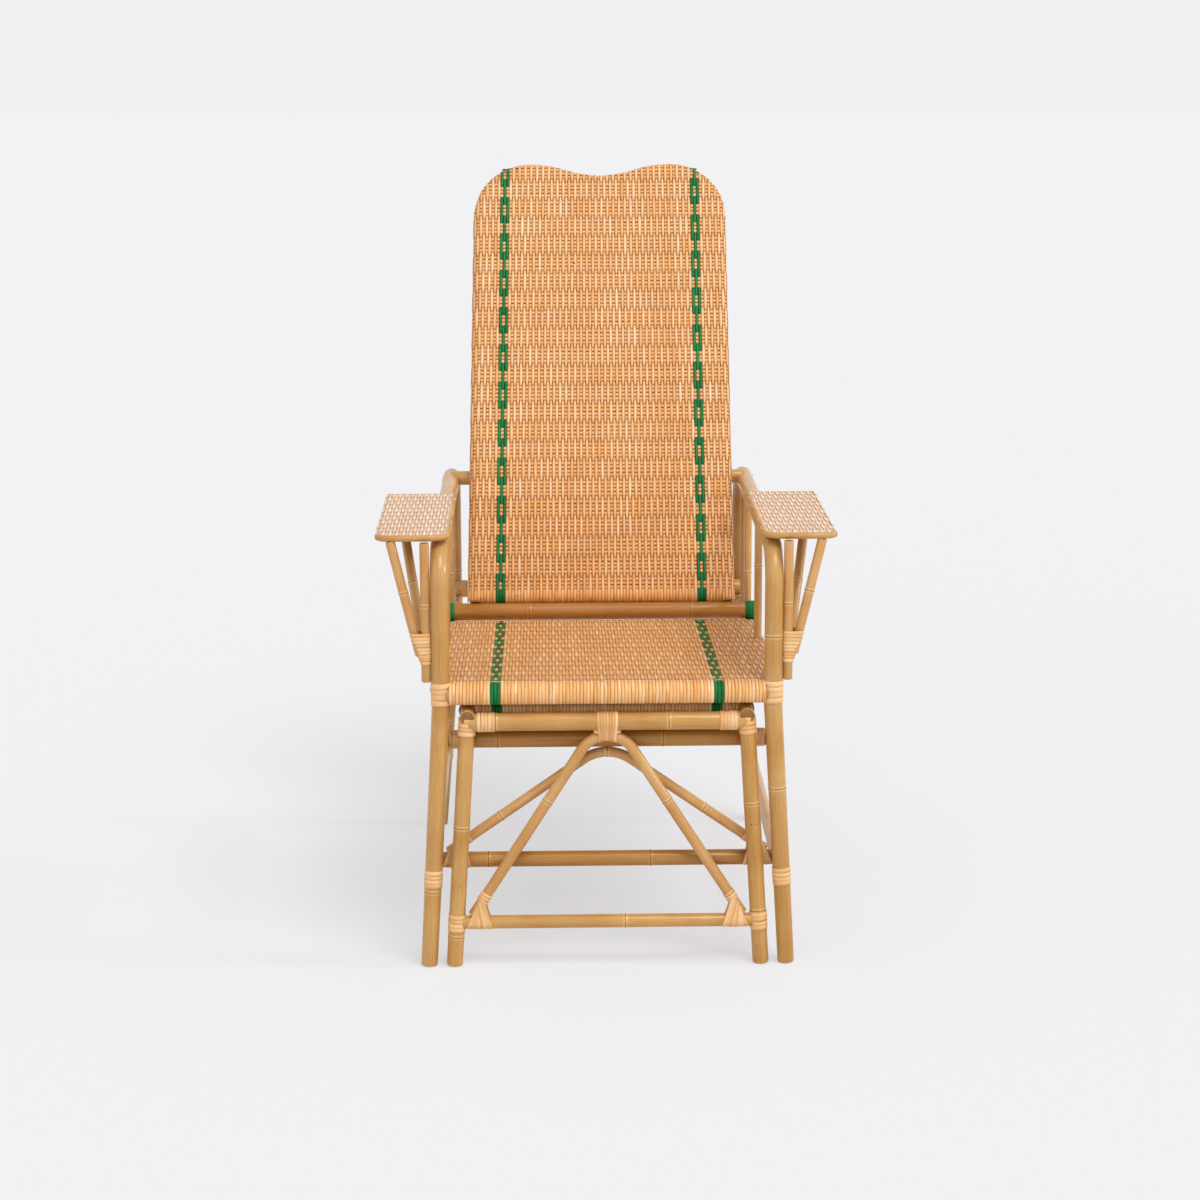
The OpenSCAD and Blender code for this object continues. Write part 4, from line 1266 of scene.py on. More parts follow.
@dataclass
class Weave:
    """Strands of one face: warps over six wefts and under four, with a dyed chain in each stripe."""

    name: str
    face: Face
    weft_pitch: float
    first_weft: float
    wefts: range
    warps: range
    warp_pitch: float = 0.00497
    stripes: tuple[int, ...] = ()
    weft_half: float = 0.53
    warp_half: float = 0.56
    sunk_half: float = 0.28
    dyed_half: float = 0.52
    loose_half: float = 0.53
    thick: float = 0.00090
    lift: float = 0.00105
    sink: float = 0.00040
    float_run: int = 6
    repeat: int = 10
    tone: float = 0.5
    shine: float = 0.6
    fan: float = 0.0
    low_tone: float = 0.0
    low_reach: float = 0.16
    focus: float = 1.0
    # pale draws the strands in the lighter cane, a painted sheen.
    pale: bool = False
    mirror: float = 1.0
    edges: dict[int, tuple[float, float]] = field(default_factory=dict)
    cut: dict[int, list[tuple[float, float]]] = field(default_factory=dict)
    points_per_weft = 4
    keep_every = 5
    least_bend = 0.02
    least_turn = 0.08
    floats = 64
    warp_wander = 0.00018
    weft_wander = 0.0002
    # Painted shade along the edges of woven and of loose strands.
    woven_rim = 0.45
    loose_rim = 0.12

    def at(self, warp: int) -> float:
        """A warp's place across the face."""
        return (warp + 0.5) * self.warp_pitch

    def weft_at(self, weft: int) -> float:
        """A weft's place along the face."""
        return self.first_weft + (weft + 0.5) * self.weft_pitch

    def start_of(self, warp: int | np.ndarray) -> int | np.ndarray:
        """The weft at which a warp's float starts, within the repeat."""
        return self.repeat // 2 * (warp % 2) - self.is_dyed(warp)

    def is_dyed(self, warp: int | np.ndarray) -> np.ndarray:
        """One for the warps of a stripe and nought for the others."""
        dyed = np.zeros(np.shape(warp), int)
        for stripe in self.stripes:
            dyed = dyed | (np.abs(warp - stripe) <= 1)
        return dyed

    def is_over(self, warp: int | np.ndarray, weft: int | np.ndarray) -> np.ndarray:
        """Whether a warp passes over a weft."""
        phase = (weft - self.start_of(warp)) % self.repeat
        return phase < self.float_run + self.is_dyed(warp)

    def eased(self, place: np.ndarray, level: Callable[[np.ndarray], np.ndarray], held: float) -> np.ndarray:
        """Levels along a strand, with a soft step from each crossing to the next.

        Args:
            place: places, counted in crossings.
            level: gives the level at a crossing.
            held: share of the way for which a level holds before and after a step.
        Returns:
            Its levels.
        """
        before = np.floor(place).astype(int)
        share = smooth((place - before - held) / (1 - 2 * held))
        return level(before) * (1 - share) + level(before + 1) * share

    def warp_level(self, warp: int, v: np.ndarray) -> np.ndarray:
        """How a warp lies along its way: 1 on top, -1 underneath.

        Args:
            warp: its number.
            v: places along the face.
        Returns:
            Its levels.
        """
        def level(weft: np.ndarray) -> np.ndarray:
            """Out, in, or on top where no weft lies."""
            woven = (weft >= self.wefts.start) & (weft < self.wefts.stop)
            return np.where(woven, np.where(self.is_over(warp, weft), 1.0, -1.0), 1.0)

        return self.eased((v - self.first_weft) / self.weft_pitch - 0.5, level, 0.15)

    def weft_level(self, weft: int, u: np.ndarray) -> np.ndarray:
        """How a weft lies along its way: 1 out, -1 in under a float.

        Args:
            weft: its number.
            u: places across the face.
        Returns:
            Its levels.
        """
        def level(warp: np.ndarray) -> np.ndarray:
            """In under a warp that floats over it, and out elsewhere."""
            woven = (warp >= self.warps.start) & (warp < self.warps.stop)
            return np.where(woven, np.where(self.is_over(warp, weft), -1.0, 1.0), 0.3)

        return self.eased(u / self.warp_pitch - 0.5, level, 0.0)

    def float_share(self, warp: int, v: np.ndarray) -> tuple[np.ndarray, np.ndarray]:
        """Where places lie in a warp's float.

        Args:
            warp: its number.
            v: places along the face.
        Returns:
            Shares of the float from 0 to 1, clipped, and the float's number.
        """
        place = (v - self.first_weft) / self.weft_pitch - self.start_of(warp)
        number = np.floor(place / self.repeat)
        inside = (place - number * self.repeat) / (self.float_run + self.is_dyed(warp))
        return np.clip(inside, 0, 1), number.astype(int)

    def place(self, points: np.ndarray, facings: np.ndarray, lift: np.ndarray, strand: Strand) -> Strand:
        """Puts a strand in the chair's frame.

        Args:
            points: local points on the face.
            facings: local facings.
            lift: distances outwards.
            strand: its size and look.
        Returns:
            The strand.
        """
        turn = np.array([self.mirror, 1.0, 1.0])
        spread = points.copy()
        spread[:, 0] *= 1 + self.fan * (0.5 - points[:, 1] / self.face.rear.at)
        strand.facing = unit(self.face.to_space(facings, shift=False) * turn)
        strand.points = self.face.to_space(spread + facings * (lift[:, None] - 0.3 * self.thick)) * turn
        return strand

    def aged_at(self, run: np.ndarray | float) -> np.ndarray | float:
        """Painted shade: how much darker the strands are drawn towards the start of the face."""
        return self.low_tone * np.exp(-np.maximum(run, 0) / self.low_reach)

    def lay_warp(self, bundle: Bundle, warp: int, luck: np.random.Generator) -> None:
        """Lays one warp.

        Args:
            bundle: where it goes.
            warp: its number.
            luck: source of small differences.
        """
        u = self.at(warp)
        start, end = self.edges.get(warp, self.face.warp_span(u))
        run = np.arange(start, end, self.weft_pitch / self.points_per_weft)
        points, facings = self.face.on_warp(u, run)
        level = self.warp_level(warp, run)
        bend = np.abs(np.convolve(level, [1, -2, 1], "same")) > self.least_bend
        turning = np.r_[False, np.linalg.norm(np.diff(facings, axis=0), axis=1) > self.least_turn]
        share, number = self.float_share(warp, run)
        kept = bend | turning | (np.arange(len(run)) % self.keep_every == 0)
        kept[[0, -1]] = True
        points[:, 0] += self.warp_wander * np.sin(run * luck.uniform(30, 90) + luck.uniform(0, 6))
        on_top = np.clip(0.5 + 0.5 * level, 0, 1)
        woven = (run > self.first_weft + self.wefts.start * self.weft_pitch) & (
            run < self.first_weft + self.wefts.stop * self.weft_pitch)
        lens = np.sqrt(np.clip(np.sin(np.pi * (0.06 + 0.88 * share)), 0, 1))
        if self.is_dyed(warp):
            half = np.full(len(run), self.dyed_half)
        else:
            grown = self.sunk_half + (self.warp_half - self.sunk_half) * lens * on_top
            half = np.where(woven, grown, self.loose_half)
        half = half * luck.uniform(0.96, 1.05) * self.warp_pitch
        own = luck.normal(self.tone, 0.07)
        each = luck.normal(0.0, 0.09, self.floats)[number % self.floats]
        # Each float is drawn lighter at its crown and darker at its ends, a painted highlight and painted
        # shade, and darker towards the face's start, painted shade.
        tone = np.clip(own + each + 0.12 * (lens - 0.7) - self.aged_at(run), 0.02, 1.0)
        # Painted shade where the warp passes under wefts and towards the ends of its floats.
        sunk = (0.55 * (1 - on_top) + 0.15 * self.focus * (1 - lens ** 2)) * woven
        own_painted_shine = 0.25 + 0.75 * luck.random(self.floats)[number % self.floats] ** 1.5
        # Painted highlight along the crown of each float, stronger on some floats than on others.
        bright = self.shine * own_painted_shine * on_top * lens ** self.focus
        rise = self.lift * level * np.where(woven, 0.55 + 0.45 * lens, 0.7)
        strand = Strand(points, facings, half[kept], self.thick, tone[kept], sunk[kept],
                        np.where(woven, self.woven_rim, self.loose_rim)[kept], bright[kept])
        bundle.lay(self.place(points[kept], facings[kept], rise[kept], strand))

    def lay_weft(self, bundle: Bundle, weft: int, luck: np.random.Generator) -> None:
        """Lays one weft.

        Args:
            bundle: where it goes.
            weft: its number.
            luck: source of small differences.
        """
        v = self.weft_at(weft)
        for start, end in self.cut.get(weft, self.face.weft_spans(v)):
            first, last = math.ceil(start / self.warp_pitch * 2), math.floor(end / self.warp_pitch * 2)
            run = np.arange(first, last + 1) * self.warp_pitch / 2
            if len(run) < 3:
                continue
            points, facings = self.face.on_weft(v, run)
            level = self.weft_level(weft, run)
            points[:, 1] += self.weft_wander * np.sin(run * luck.uniform(15, 40) + luck.uniform(0, 6))
            tone = luck.normal(self.tone + 0.02, 0.08) + luck.normal(0, 0.05, len(run)) - self.aged_at(v)
            half = self.weft_half * self.weft_pitch * luck.uniform(0.97, 1.03)
            tone = np.clip(tone, 0, 1)
            # Painted shade where the weft passes under a float and along its edges, and a faint painted
            # highlight.
            strand = Strand(points, facings, half, self.thick, tone, 0.25 * (1 - level), 1.0, 0.1)
            bundle.lay(self.place(points, facings, self.sink * level, strand))

    def build(self, body: Body, finishes: Finishes, node: str) -> None:
        """Weaves the face and dresses its pieces.

        Args:
            body: what the face moves with.
            finishes: the materials.
            node: the CAD node that it stands for.
        """
        luck = np.random.default_rng(SEED + hash_of(self.name))
        natural, dyed = Bundle(self.name + "_warps"), Bundle(self.name + "_green_warps")
        for warp in self.warps:
            self.lay_warp(dyed if self.is_dyed(warp) else natural, warp, luck)
        cross = [Bundle(self.name + "_wefts_" + part) for part in ("front", "rear")]
        middle = (self.wefts.start + self.wefts.stop) // 2
        for weft in self.wefts:
            self.lay_weft(cross[int(weft >= middle)], weft, luck)
        # The pale faces take the lighter cane, a painted sheen.
        strands = finishes.pale_cane if self.pale else None
        for bundle in (natural, *cross):
            finishes.dress(bundle.piece(), body, Slot.WEAVE, node, strands)
        if self.stripes:
            finishes.dress(dyed.piece(), body, Slot.GREEN, node)


# Sub-assemblies


@dataclass
class Plan:
    """Sizes and places of the frame that the sub-assemblies share."""

    hoop_r: float = 0.0135
    depth: float = 0.702
    front_knee: float = 0.3935
    rear_knee: float = 0.38247
    front_out: float = 0.0225
    rear_out: float = 0.030
    rear_back: float = 0.034
    rail_r: float = 0.011
    strut_r: float = 0.007
    post_x: float = 0.26365
    leg_y: float = field(init=False)
    rear_y: float = field(init=False)
    arm_x: float = field(init=False)
    arm_top: float = field(init=False)

    def __post_init__(self) -> None:
        """Takes the frame's places from its CAD nodes."""
        self.leg_y = mid("tray_post_right").y
        self.rear_y = self.leg_y + self.depth
        self.arm_x = low("side_hoop_right").x + self.hoop_r
        self.arm_top = high("side_hoop_right").z


@dataclass
class SideFrame:
    """The two bent side hoops with their stretchers, spindles and side rails."""

    plan: Plan
    finishes: Finishes
    foot_r: float = 0.01225
    bend_r: float = 0.052
    knee_bend: float = 0.14
    left_rings: tuple[float, ...] = (0.06, 0.37, 0.50, 0.63, 0.76, 0.90)
    right_rings: tuple[float, ...] = (0.141, 0.261, 0.42, 0.55, 0.68, 0.80, 0.92)
    stretcher_x: tuple[float, float] = (0.2578, 0.2624)
    spindle_r: float = 0.006
    spindles: tuple[tuple[float, float, float], ...] = ((0.300, 0.003, 0.62), (0.520, -0.001, 0.35),
                                                        (0.610, -0.001, 0.5))

    def hoop(self, side: Side) -> None:
        """Bends one side hoop from its front foot over the arm to its rear foot.

        Args:
            side: which one.
        """
        plan, x = self.plan, self.plan.arm_x
        top = plan.arm_top - plan.hoop_r
        corners = [(x + plan.front_out, plan.leg_y, 0.0009), (x, plan.leg_y, plan.front_knee),
                   (x, plan.leg_y, top), (x, plan.rear_y, top), (x, plan.rear_y, plan.rear_knee),
                   (x + plan.rear_out, plan.rear_y + plan.rear_back, 0.0013)]
        route = rounded([mirrored(Vector(corner), side.value) for corner in corners],
                        [self.knee_bend, self.bend_r, self.bend_r, self.knee_bend])
        name = f"side_hoop_{side.word}"
        rings = self.right_rings if side is Side.RIGHT else self.left_rings
        pole = Pole(name + "_pole", route, plan.hoop_r, rings, (self.foot_r, self.foot_r), (0.39, 0.39), 32)
        self.finishes.stand(pole, Body.FRAME, Slot.POLE, name)

    def stretcher(self, side: Side) -> None:
        """Lays the low stretcher between the feet.

        Args:
            side: which one.
        """
        name = f"side_stretcher_{side.word}"
        z = mid(name).z
        front, rear = (side.value * x for x in self.stretcher_x)
        route = line_of((front, low(name).y - 0.001, z), (rear, high(name).y + 0.001, z))
        self.finishes.stand(Pole(name + "_pole", route, half_height(name), (0.3, 0.72)), Body.FRAME, Slot.ROD,
                            name)

    def rail(self, side: Side) -> None:
        """Lays the seat's side rail.

        Args:
            side: which one.
        """
        name = f"seat_side_rail_{side.word}"
        lowest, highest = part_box(name)
        radius = (highest.x - lowest.x) / 2
        x = (highest.x + lowest.x) / 2
        route = line_of((x, lowest.y, highest.z - radius), (x, highest.y, lowest.z + radius))
        self.finishes.stand(Pole(name + "_pole", route, radius, (0.42, 0.8)), Body.FRAME, Slot.POLE, name)

    def rods(self, side: Side) -> None:
        """Stands the three spindles under the arm, joined into one piece.

        Args:
            side: which one.
        """
        name, rail = f"arm_spindles_{side.word}", f"seat_side_rail_{side.word}"
        front, rear = high(rail).z, low(rail).z + 2 * self.plan.rail_r
        x, rods = side.value * self.plan.arm_x, []
        for number, (reach, seat, ring) in enumerate(self.spindles):
            y, foot = self.plan.leg_y + reach, front + (rear - front) * reach / self.plan.depth + seat
            route = line_of((x, y, foot), (x, y, self.plan.arm_top - 1.95 * self.plan.hoop_r))
            rods.append(Pole(name if number else name + "_rods", route, self.spindle_r, (ring,), sides=16,
                             bevel=0.0004))
        self.finishes.bunch(rods, name + "_rods", Body.FRAME, name)

    def build(self) -> None:
        """Builds both sides."""
        for side in Side:
            self.hoop(side)
            self.stretcher(side)
            self.rail(side)
            self.rods(side)


@dataclass
class Crossbars:
    """The straight poles that run across the frame, the back and the footrest."""

    finishes: Finishes
    support_r: float = 0.007

    def build(self) -> None:
        """Lays every bar in its CAD node's box."""
        # The slide bar and the low crossbar take the darker pole finish, painted shade under the seat.
        golden, aged = self.finishes.by_slot[Slot.POLE], self.finishes.aged
        for name, body, slot, finish, rings in (
                ("seat_front_rail", Body.FRAME, Slot.POLE, None, (0.4,)),
                ("rear_crossbar", Body.FRAME, Slot.POLE, None, (0.3, 0.78)),
                ("recline_bar", Body.FRAME, Slot.SMOKED, golden, (0.35, 0.7)),
                ("slide_bar", Body.FRAME, Slot.POLE, aged, (0.19, 0.66)),
                ("front_low_crossbar", Body.FRAME, Slot.POLE, aged, (0.17, 0.62)),
                ("pivot_bar", Body.BACK, Slot.SMOKED, None, (0.272, 0.79)),
                ("footrest_front_bar", Body.FOOTREST, Slot.POLE, None, (0.1, 0.72)),
                ("footrest_stop_bar", Body.FOOTREST, Slot.ROD, None, (0.4,)),
                ("footrest_low_bar", Body.FOOTREST, Slot.POLE, None, (0.56,)),
                ("seat_rear_rail", Body.FRAME, Slot.POLE, None, (0.5,))):
            centre = mid(name)
            route = line_of((low(name).x, centre.y, centre.z), (high(name).x, centre.y, centre.z))
            pole = Pole(name + "_pole", route, half_height(name), rings)
            self.finishes.stand(pole, body, slot, name, finish)
        self.support_rods()
        self.panel_rails()

    def pair(self, name: str, routes: list[np.ndarray], radius: float, body: Body) -> None:
        """Lays two like rods as one piece.

        Args:
            name: the CAD node.
            routes: the two routes.
            radius: their radius.
            body: what they move with.
        """
        rods = [Pole(f"{name}_pole_{number}", route, radius, (0.45,), sides=18, bevel=0.001)
                for number, route in enumerate(routes)]
        self.finishes.bunch(rods, name + "_poles", body, name)

    def support_rods(self) -> None:
        """Lays the two rods under the seat's weave."""
        lowest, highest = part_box("seat_support_rods")
        radius = self.support_r
        x = highest.x - radius
        routes = [line_of((sign * x, lowest.y, highest.z - radius), (sign * x, highest.y, lowest.z + radius))
                  for sign in (-1, 1)]
        self.pair("seat_support_rods", routes, radius, Body.FRAME)

    def panel_rails(self) -> None:
        """Lays the front and rear rails of the footrest's panel."""
        name = "footrest_panel_rails"
        lowest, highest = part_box(name)
        radius, z = half_height(name), mid(name).z
        routes = [line_of((lowest.x, y, z), (highest.x, y, z))
                  for y in (lowest.y + radius, highest.y - radius)]
        self.pair(name, routes, radius, Body.FOOTREST)


@dataclass
class Arch:
    """A bent arch brace that stands on a low bar."""

    node: str
    body: Body
    bend_r: float
    rod_r: float
    rings: tuple[float, ...]

    def slope(self, half: float, rise: float) -> float:
        """How steeply a leg stands."""
        drop = self.bend_r - rise
        return math.asin(self.bend_r / math.hypot(half, drop)) - math.atan2(drop, half)

    def route(self) -> np.ndarray:
        """Points of the brace's middle line, from its CAD node's box.

        Returns:
            The route: straight legs with a round bend between them.
        """
        y = mid(self.node).y
        foot, top = low(self.node).z + 0.0008, high(self.node).z - self.rod_r
        half = self.foot_half()
        slope = self.slope(half, top - foot)
        turn = np.linspace(math.pi / 2 - slope, math.pi / 2 + slope, 21)
        bend = [(self.bend_r * math.cos(a), y, top - self.bend_r + self.bend_r * math.sin(a)) for a in turn]
        return line_of((half, y, foot), *bend, (-half, y, foot))

    def foot_half(self) -> float:
        """Half the distance between the feet's middles, found step by step."""
        slope, rise = 0.9, high(self.node).z - self.rod_r - low(self.node).z
        for _ in range(8):
            half = high(self.node).x - self.rod_r / math.sin(slope)
            slope = self.slope(half, rise)
        return half

    def build(self, finishes: Finishes) -> None:
        """Bends the brace."""
        pole = Pole(self.node + "_rod", self.route(), self.rod_r, self.rings, sides=24, bevel=0.0006)
        finishes.stand(pole, self.body, Slot.ROD, self.node)


@dataclass
class SeatPanel:
    """The seat's woven face."""

    plan: Plan
    finishes: Finishes
    slope: float = math.radians(0.9)
    depth: float = 0.441
    axis_z: float = 0.4175
    weave_up: float = 0.0132
    front_half: float = 0.2277
    lashing_end: float = 0.0165
    wall_half: float = 0.0026
    wall_thick: float = 0.0012
    loop_half: float = 0.0012
    loop_thick: float = 0.0009
    loop_reach: float = 1.15

    def build(self) -> None:
        """Weaves the seat."""
        along = Vector((0, math.cos(self.slope), -math.sin(self.slope)))
        outward = Vector((0, math.sin(self.slope), math.cos(self.slope)))
        origin = Vector((0, self.plan.leg_y, self.axis_z)) + outward * self.weave_up
        face = Face(origin, along, outward, Roll(0.0, self.weave_up + 0.002),
                    Roll(self.depth, self.weave_up - 0.001), Roll(self.plan.arm_x, self.weave_up))
        weave = Weave("seat", face, 0.00639, 0.0109, range(-1, 68), range(-52, 52), stripes=(-33, 32),
                      fan=0.02, tone=0.50, shine=0.45, focus=4.0)
        for warp in weave.warps:
            if abs(weave.at(warp)) > self.front_half:
                weave.edges[warp] = (self.lashing_end, face.rear.at + 2.2 * face.rear.radius)
        for weft in weave.wefts:
            if weave.weft_at(weft) < self.lashing_end:
                weave.cut[weft] = [(-self.front_half, self.front_half)]
        weave.build(Body.FRAME, self.finishes, "seat_weave")
        self.loops(weave)

    def loops(self, weave: Weave) -> None:
        """Stitches a row of small pale loops along the seat's rear edge and its front edge, with a darker
        strip behind the rear row as painted shade.

        Args:
            weave: the seat's weave.
        """
        luck = np.random.default_rng(SEED + 11)
        wide, face = self.plan.arm_x - 0.006, weave.face
        u = np.linspace(-wide, wide, 80)
        points, facings = face.on_warp(0.0, np.full(len(u), face.rear.at + 0.0062))
        points[:, 0] = u
        tone = luck.uniform(0.0, 0.5, len(u))
        # A strip behind the rear loops, drawn in low tones and darkened by its depth mark: painted shade in
        # the gaps between the loops.
        shade_strip = Strand(points, facings, self.wall_half, self.wall_thick, tone, 0.35, 0.4)
        weave.place(points, facings, np.full(len(u), 0.0020), shade_strip)
        shade_strip.facing = np.broadcast_to(np.array([0.0, -1.0, 0.0]), shade_strip.points.shape)
        bundle = Bundle("seat_edge_loops")
        bundle.lay(shade_strip)
        front = weave.first_weft + (weave.wefts.start - 0.2) * weave.weft_pitch
        for v, reach, height in ((face.rear.at + 0.004, wide, 0.0022), (front, self.front_half, 0.0012)):
            count = int(2 * reach / (2 * weave.warp_pitch))
            for number in range(count):
                middle = (number + 0.5) / count * 2 * reach - reach
                turn = np.linspace(0, math.pi, 9)
                points, facings = face.on_warp(0.0, np.full(len(turn), v))
                points[:, 0] = middle - np.cos(turn) * weave.warp_pitch * self.loop_reach
                points[:, 1] += np.sin(turn) * 0.0012 + luck.uniform(-0.0004, 0.0004)
                lift = 0.0004 + np.sin(turn) * height * luck.uniform(0.8, 1.15)
                # Each loop has painted shade along its edges and a faint painted highlight.
                strand = Strand(points, facings, self.loop_half, self.loop_thick, luck.uniform(0.5, 0.95),
                                0.0, 0.5, 0.3)
                bundle.lay(weave.place(points, facings, lift, strand))
        self.finishes.dress(bundle.piece(), Body.FRAME, Slot.WEAVE, "seat_weave")


@dataclass
class Back:
    """The hinged back: hoop, rails and the tall woven face."""

    finishes: Finishes
    lean: float = math.radians(28.2)
    pole_x: float = 0.201
    pole_r: float = 0.010
    weave_up: float = 0.0122
    bottom: float = 0.02745
    top: float = 0.7735
    rail_inset: float = 0.0095
    cross_rails: tuple[float, float] = (0.2695, 0.5115)
    cross_r: float = 0.006
    cross_forward: float = -0.004
    foot_wide: float = 1.011
    narrowing: float = 0.0284
    aside: float = 0.002
    askew: float = 0.0095

    @property
    def pivot(self) -> Vector:
        """Middle of the pivot bar."""
        centre = mid("pivot_bar")
        return Vector((0, centre.y, centre.z))

    @property
    def up(self) -> Vector:
        """Direction up along the back."""
        return Vector((0, math.sin(self.lean), math.cos(self.lean)))

    @property
    def rearward(self) -> Vector:
        """Direction out of the back's rear."""
        return Vector((0, math.cos(self.lean), -math.sin(self.lean)))

    def at(self, x: float, y: float, z: float) -> Vector:
        """A place of the back's own frame in the chair's."""
        return self.pivot + Vector((x, 0, 0)) + self.rearward * y + self.up * z

    def face(self) -> HoopFace:
        """The woven face, on the hoop's front."""
        return HoopFace(self.at(0, -self.weave_up, 0), self.up, -self.rearward,
                        *(Roll(at, self.weave_up) for at in (self.bottom, self.top, self.pole_x)))

    def hoop(self) -> None:
        """Bends the hoop with its two humps."""
        face = self.face()
        arcs = [(face.corner_x, face.shoulder, face.corner_r, 0.0, 90.0, 13),
                (face.corner_x, face.hump - face.wave_r, face.wave_r, 90.0, 108.92, 5),
                (0.0, face.dip_centre, face.wave_r, 288.92, 270.0, 5)]
        half = [(self.pole_x, 0.0142)]
        for x, z, radius, start, end, steps in arcs:
            half += [(x + radius * math.cos(math.radians(a)), z + radius * math.sin(math.radians(a)))
                     for a in np.linspace(start, end, steps)]
        both = half + [(-x, z) for x, z in reversed(half[:-1])]
        route = line_of(*(self.at(x, 0, z) for x, z in both))
        pole = Pole("back_hoop_pole", route, self.pole_r, (0.1, 0.25, 0.42, 0.6, 0.8, 0.93), bend_step=0.010)
        self.finishes.stand(pole, Body.BACK, Slot.POLE, "back_hoop")

    def rails(self) -> None:
        """Lays the bottom rail and the two cross rails."""
        reach = self.pole_x - self.rail_inset

        def level(y: float, z: float) -> np.ndarray:
            """Route of a level rail between the hoop's sides."""
            return line_of(self.at(-reach, y, z), self.at(reach, y, z))

        self.finishes.stand(Pole("back_bottom_rail_pole", level(0, self.bottom), self.pole_r, (0.3, 0.7)),
                            Body.BACK, Slot.POLE, "back_bottom_rail")
        rods = [Pole(f"back_cross_rails_pole_{number}", level(self.cross_forward, z), self.cross_r,
                     (0.35, 0.66), sides=18) for number, z in enumerate(self.cross_rails)]
        self.finishes.bunch(rods, "back_cross_rails_poles", Body.BACK, "back_cross_rails")

    def build(self) -> None:
        """Builds the back."""
        self.hoop()
        self.rails()
        # The back's strands are drawn darker towards its bottom: painted shade.
        weave = Weave("back", self.face(), 0.006625, 0.0200, range(2, 115), range(-45, 45), stripes=(-33, 32),
                      low_tone=0.26)
        weave.build(Body.BACK, self.finishes, "back_weave")
        for part in ("warps", "green_warps", "wefts_front", "wefts_rear", "hoop_pole", "bottom_rail_pole",
                     "cross_rails_poles"):
            self.settle(bpy.data.objects["back_" + part].data)

    def settle(self, mesh: bpy.types.Mesh) -> None:
        """Draws a piece of the back a little askew, as the hand-made hoop stands.

        Args:
            mesh: the piece's mesh.
        """
        points = np.empty(len(mesh.vertices) * 3, np.float32)
        mesh.vertices.foreach_get("co", points)
        points = points.reshape(-1, 3)
        height = (points - np.array(self.pivot)) @ np.array(self.up)
        wide = self.foot_wide - self.narrowing * height
        points[:, 0] = points[:, 0] * wide + self.aside + self.askew * height
        mesh.vertices.foreach_set("co", points.astype(np.float32).ravel())
        mesh.update()


@dataclass
class Footrest:
    """The pull-out footrest: legs, runners and its woven panel."""

    finishes: Finishes
    runner_x: float = 0.2045
    runner_z: float = 0.382
    foot_x: float = 0.228
    leg_r: float = 0.012
    rail_r: float = 0.0075
    weave_up: float = 0.0122
    weave_r: float = 0.0087
    left_rings: tuple[float, ...] = (0.12, 0.57)
    right_rings: tuple[float, ...] = (0.22, 0.66)

    def legs(self) -> None:
        """Stands the legs and lays the runners on them."""
        y = mid("footrest_front_bar").y
        lean = (self.foot_x - self.runner_x) / self.runner_z
        for side in Side:
            foot = (side.value * (self.foot_x - 0.0008 * lean), y, 0.0008)
            head = (side.value * (self.runner_x + 0.008 * lean), y, self.runner_z - 0.008)
            name = f"footrest_leg_{side.word}"
            rings = self.right_rings if side is Side.RIGHT else self.left_rings
            leg = Pole(name + "_pole", line_of(foot, head), self.leg_r, rings, sides=30)
            self.finishes.stand(leg, Body.FOOTREST, Slot.POLE, name)
            name = f"footrest_runner_{side.word}"
            lowest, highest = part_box(name)
            x, _, z = (lowest + highest) / 2
            runner = Pole(name + "_pole", line_of((x, lowest.y, z), (x, highest.y, z)),
                          (highest.x - lowest.x) / 2, (0.38, 0.8), sides=30, bevel=0.001)
            self.finishes.stand(runner, Body.FOOTREST, Slot.POLE, name)

    def panel(self) -> None:
        """Weaves the panel."""
        name = "footrest_panel_rails"
        front, rear = low(name).y + self.rail_r, high(name).y - self.rail_r
        face = Face(Vector((0, front, self.runner_z + self.weave_up)), REARWARD, UPWARD,
                    Roll(0.0, self.weave_r), Roll(rear - front, self.weave_r),
                    Roll(self.runner_x, self.weave_up))
        weave = Weave("footrest", face, 0.00639, 0.0072, range(-1, 60), range(-45, 45), stripes=(-33, 32))
        sides, reach = 0.0015, self.runner_x - self.leg_r
        for warp in weave.warps:
            if abs(weave.at(warp)) > reach:
                weave.edges[warp] = (sides, rear - front - sides)
        for weft in weave.wefts:
            if not sides < weave.weft_at(weft) < rear - front - sides:
                weave.cut[weft] = [(-reach, reach)]
        weave.build(Body.FOOTREST, self.finishes, "footrest_weave")

    def build(self) -> None:
        """Builds the footrest."""
        self.legs()
        self.panel()


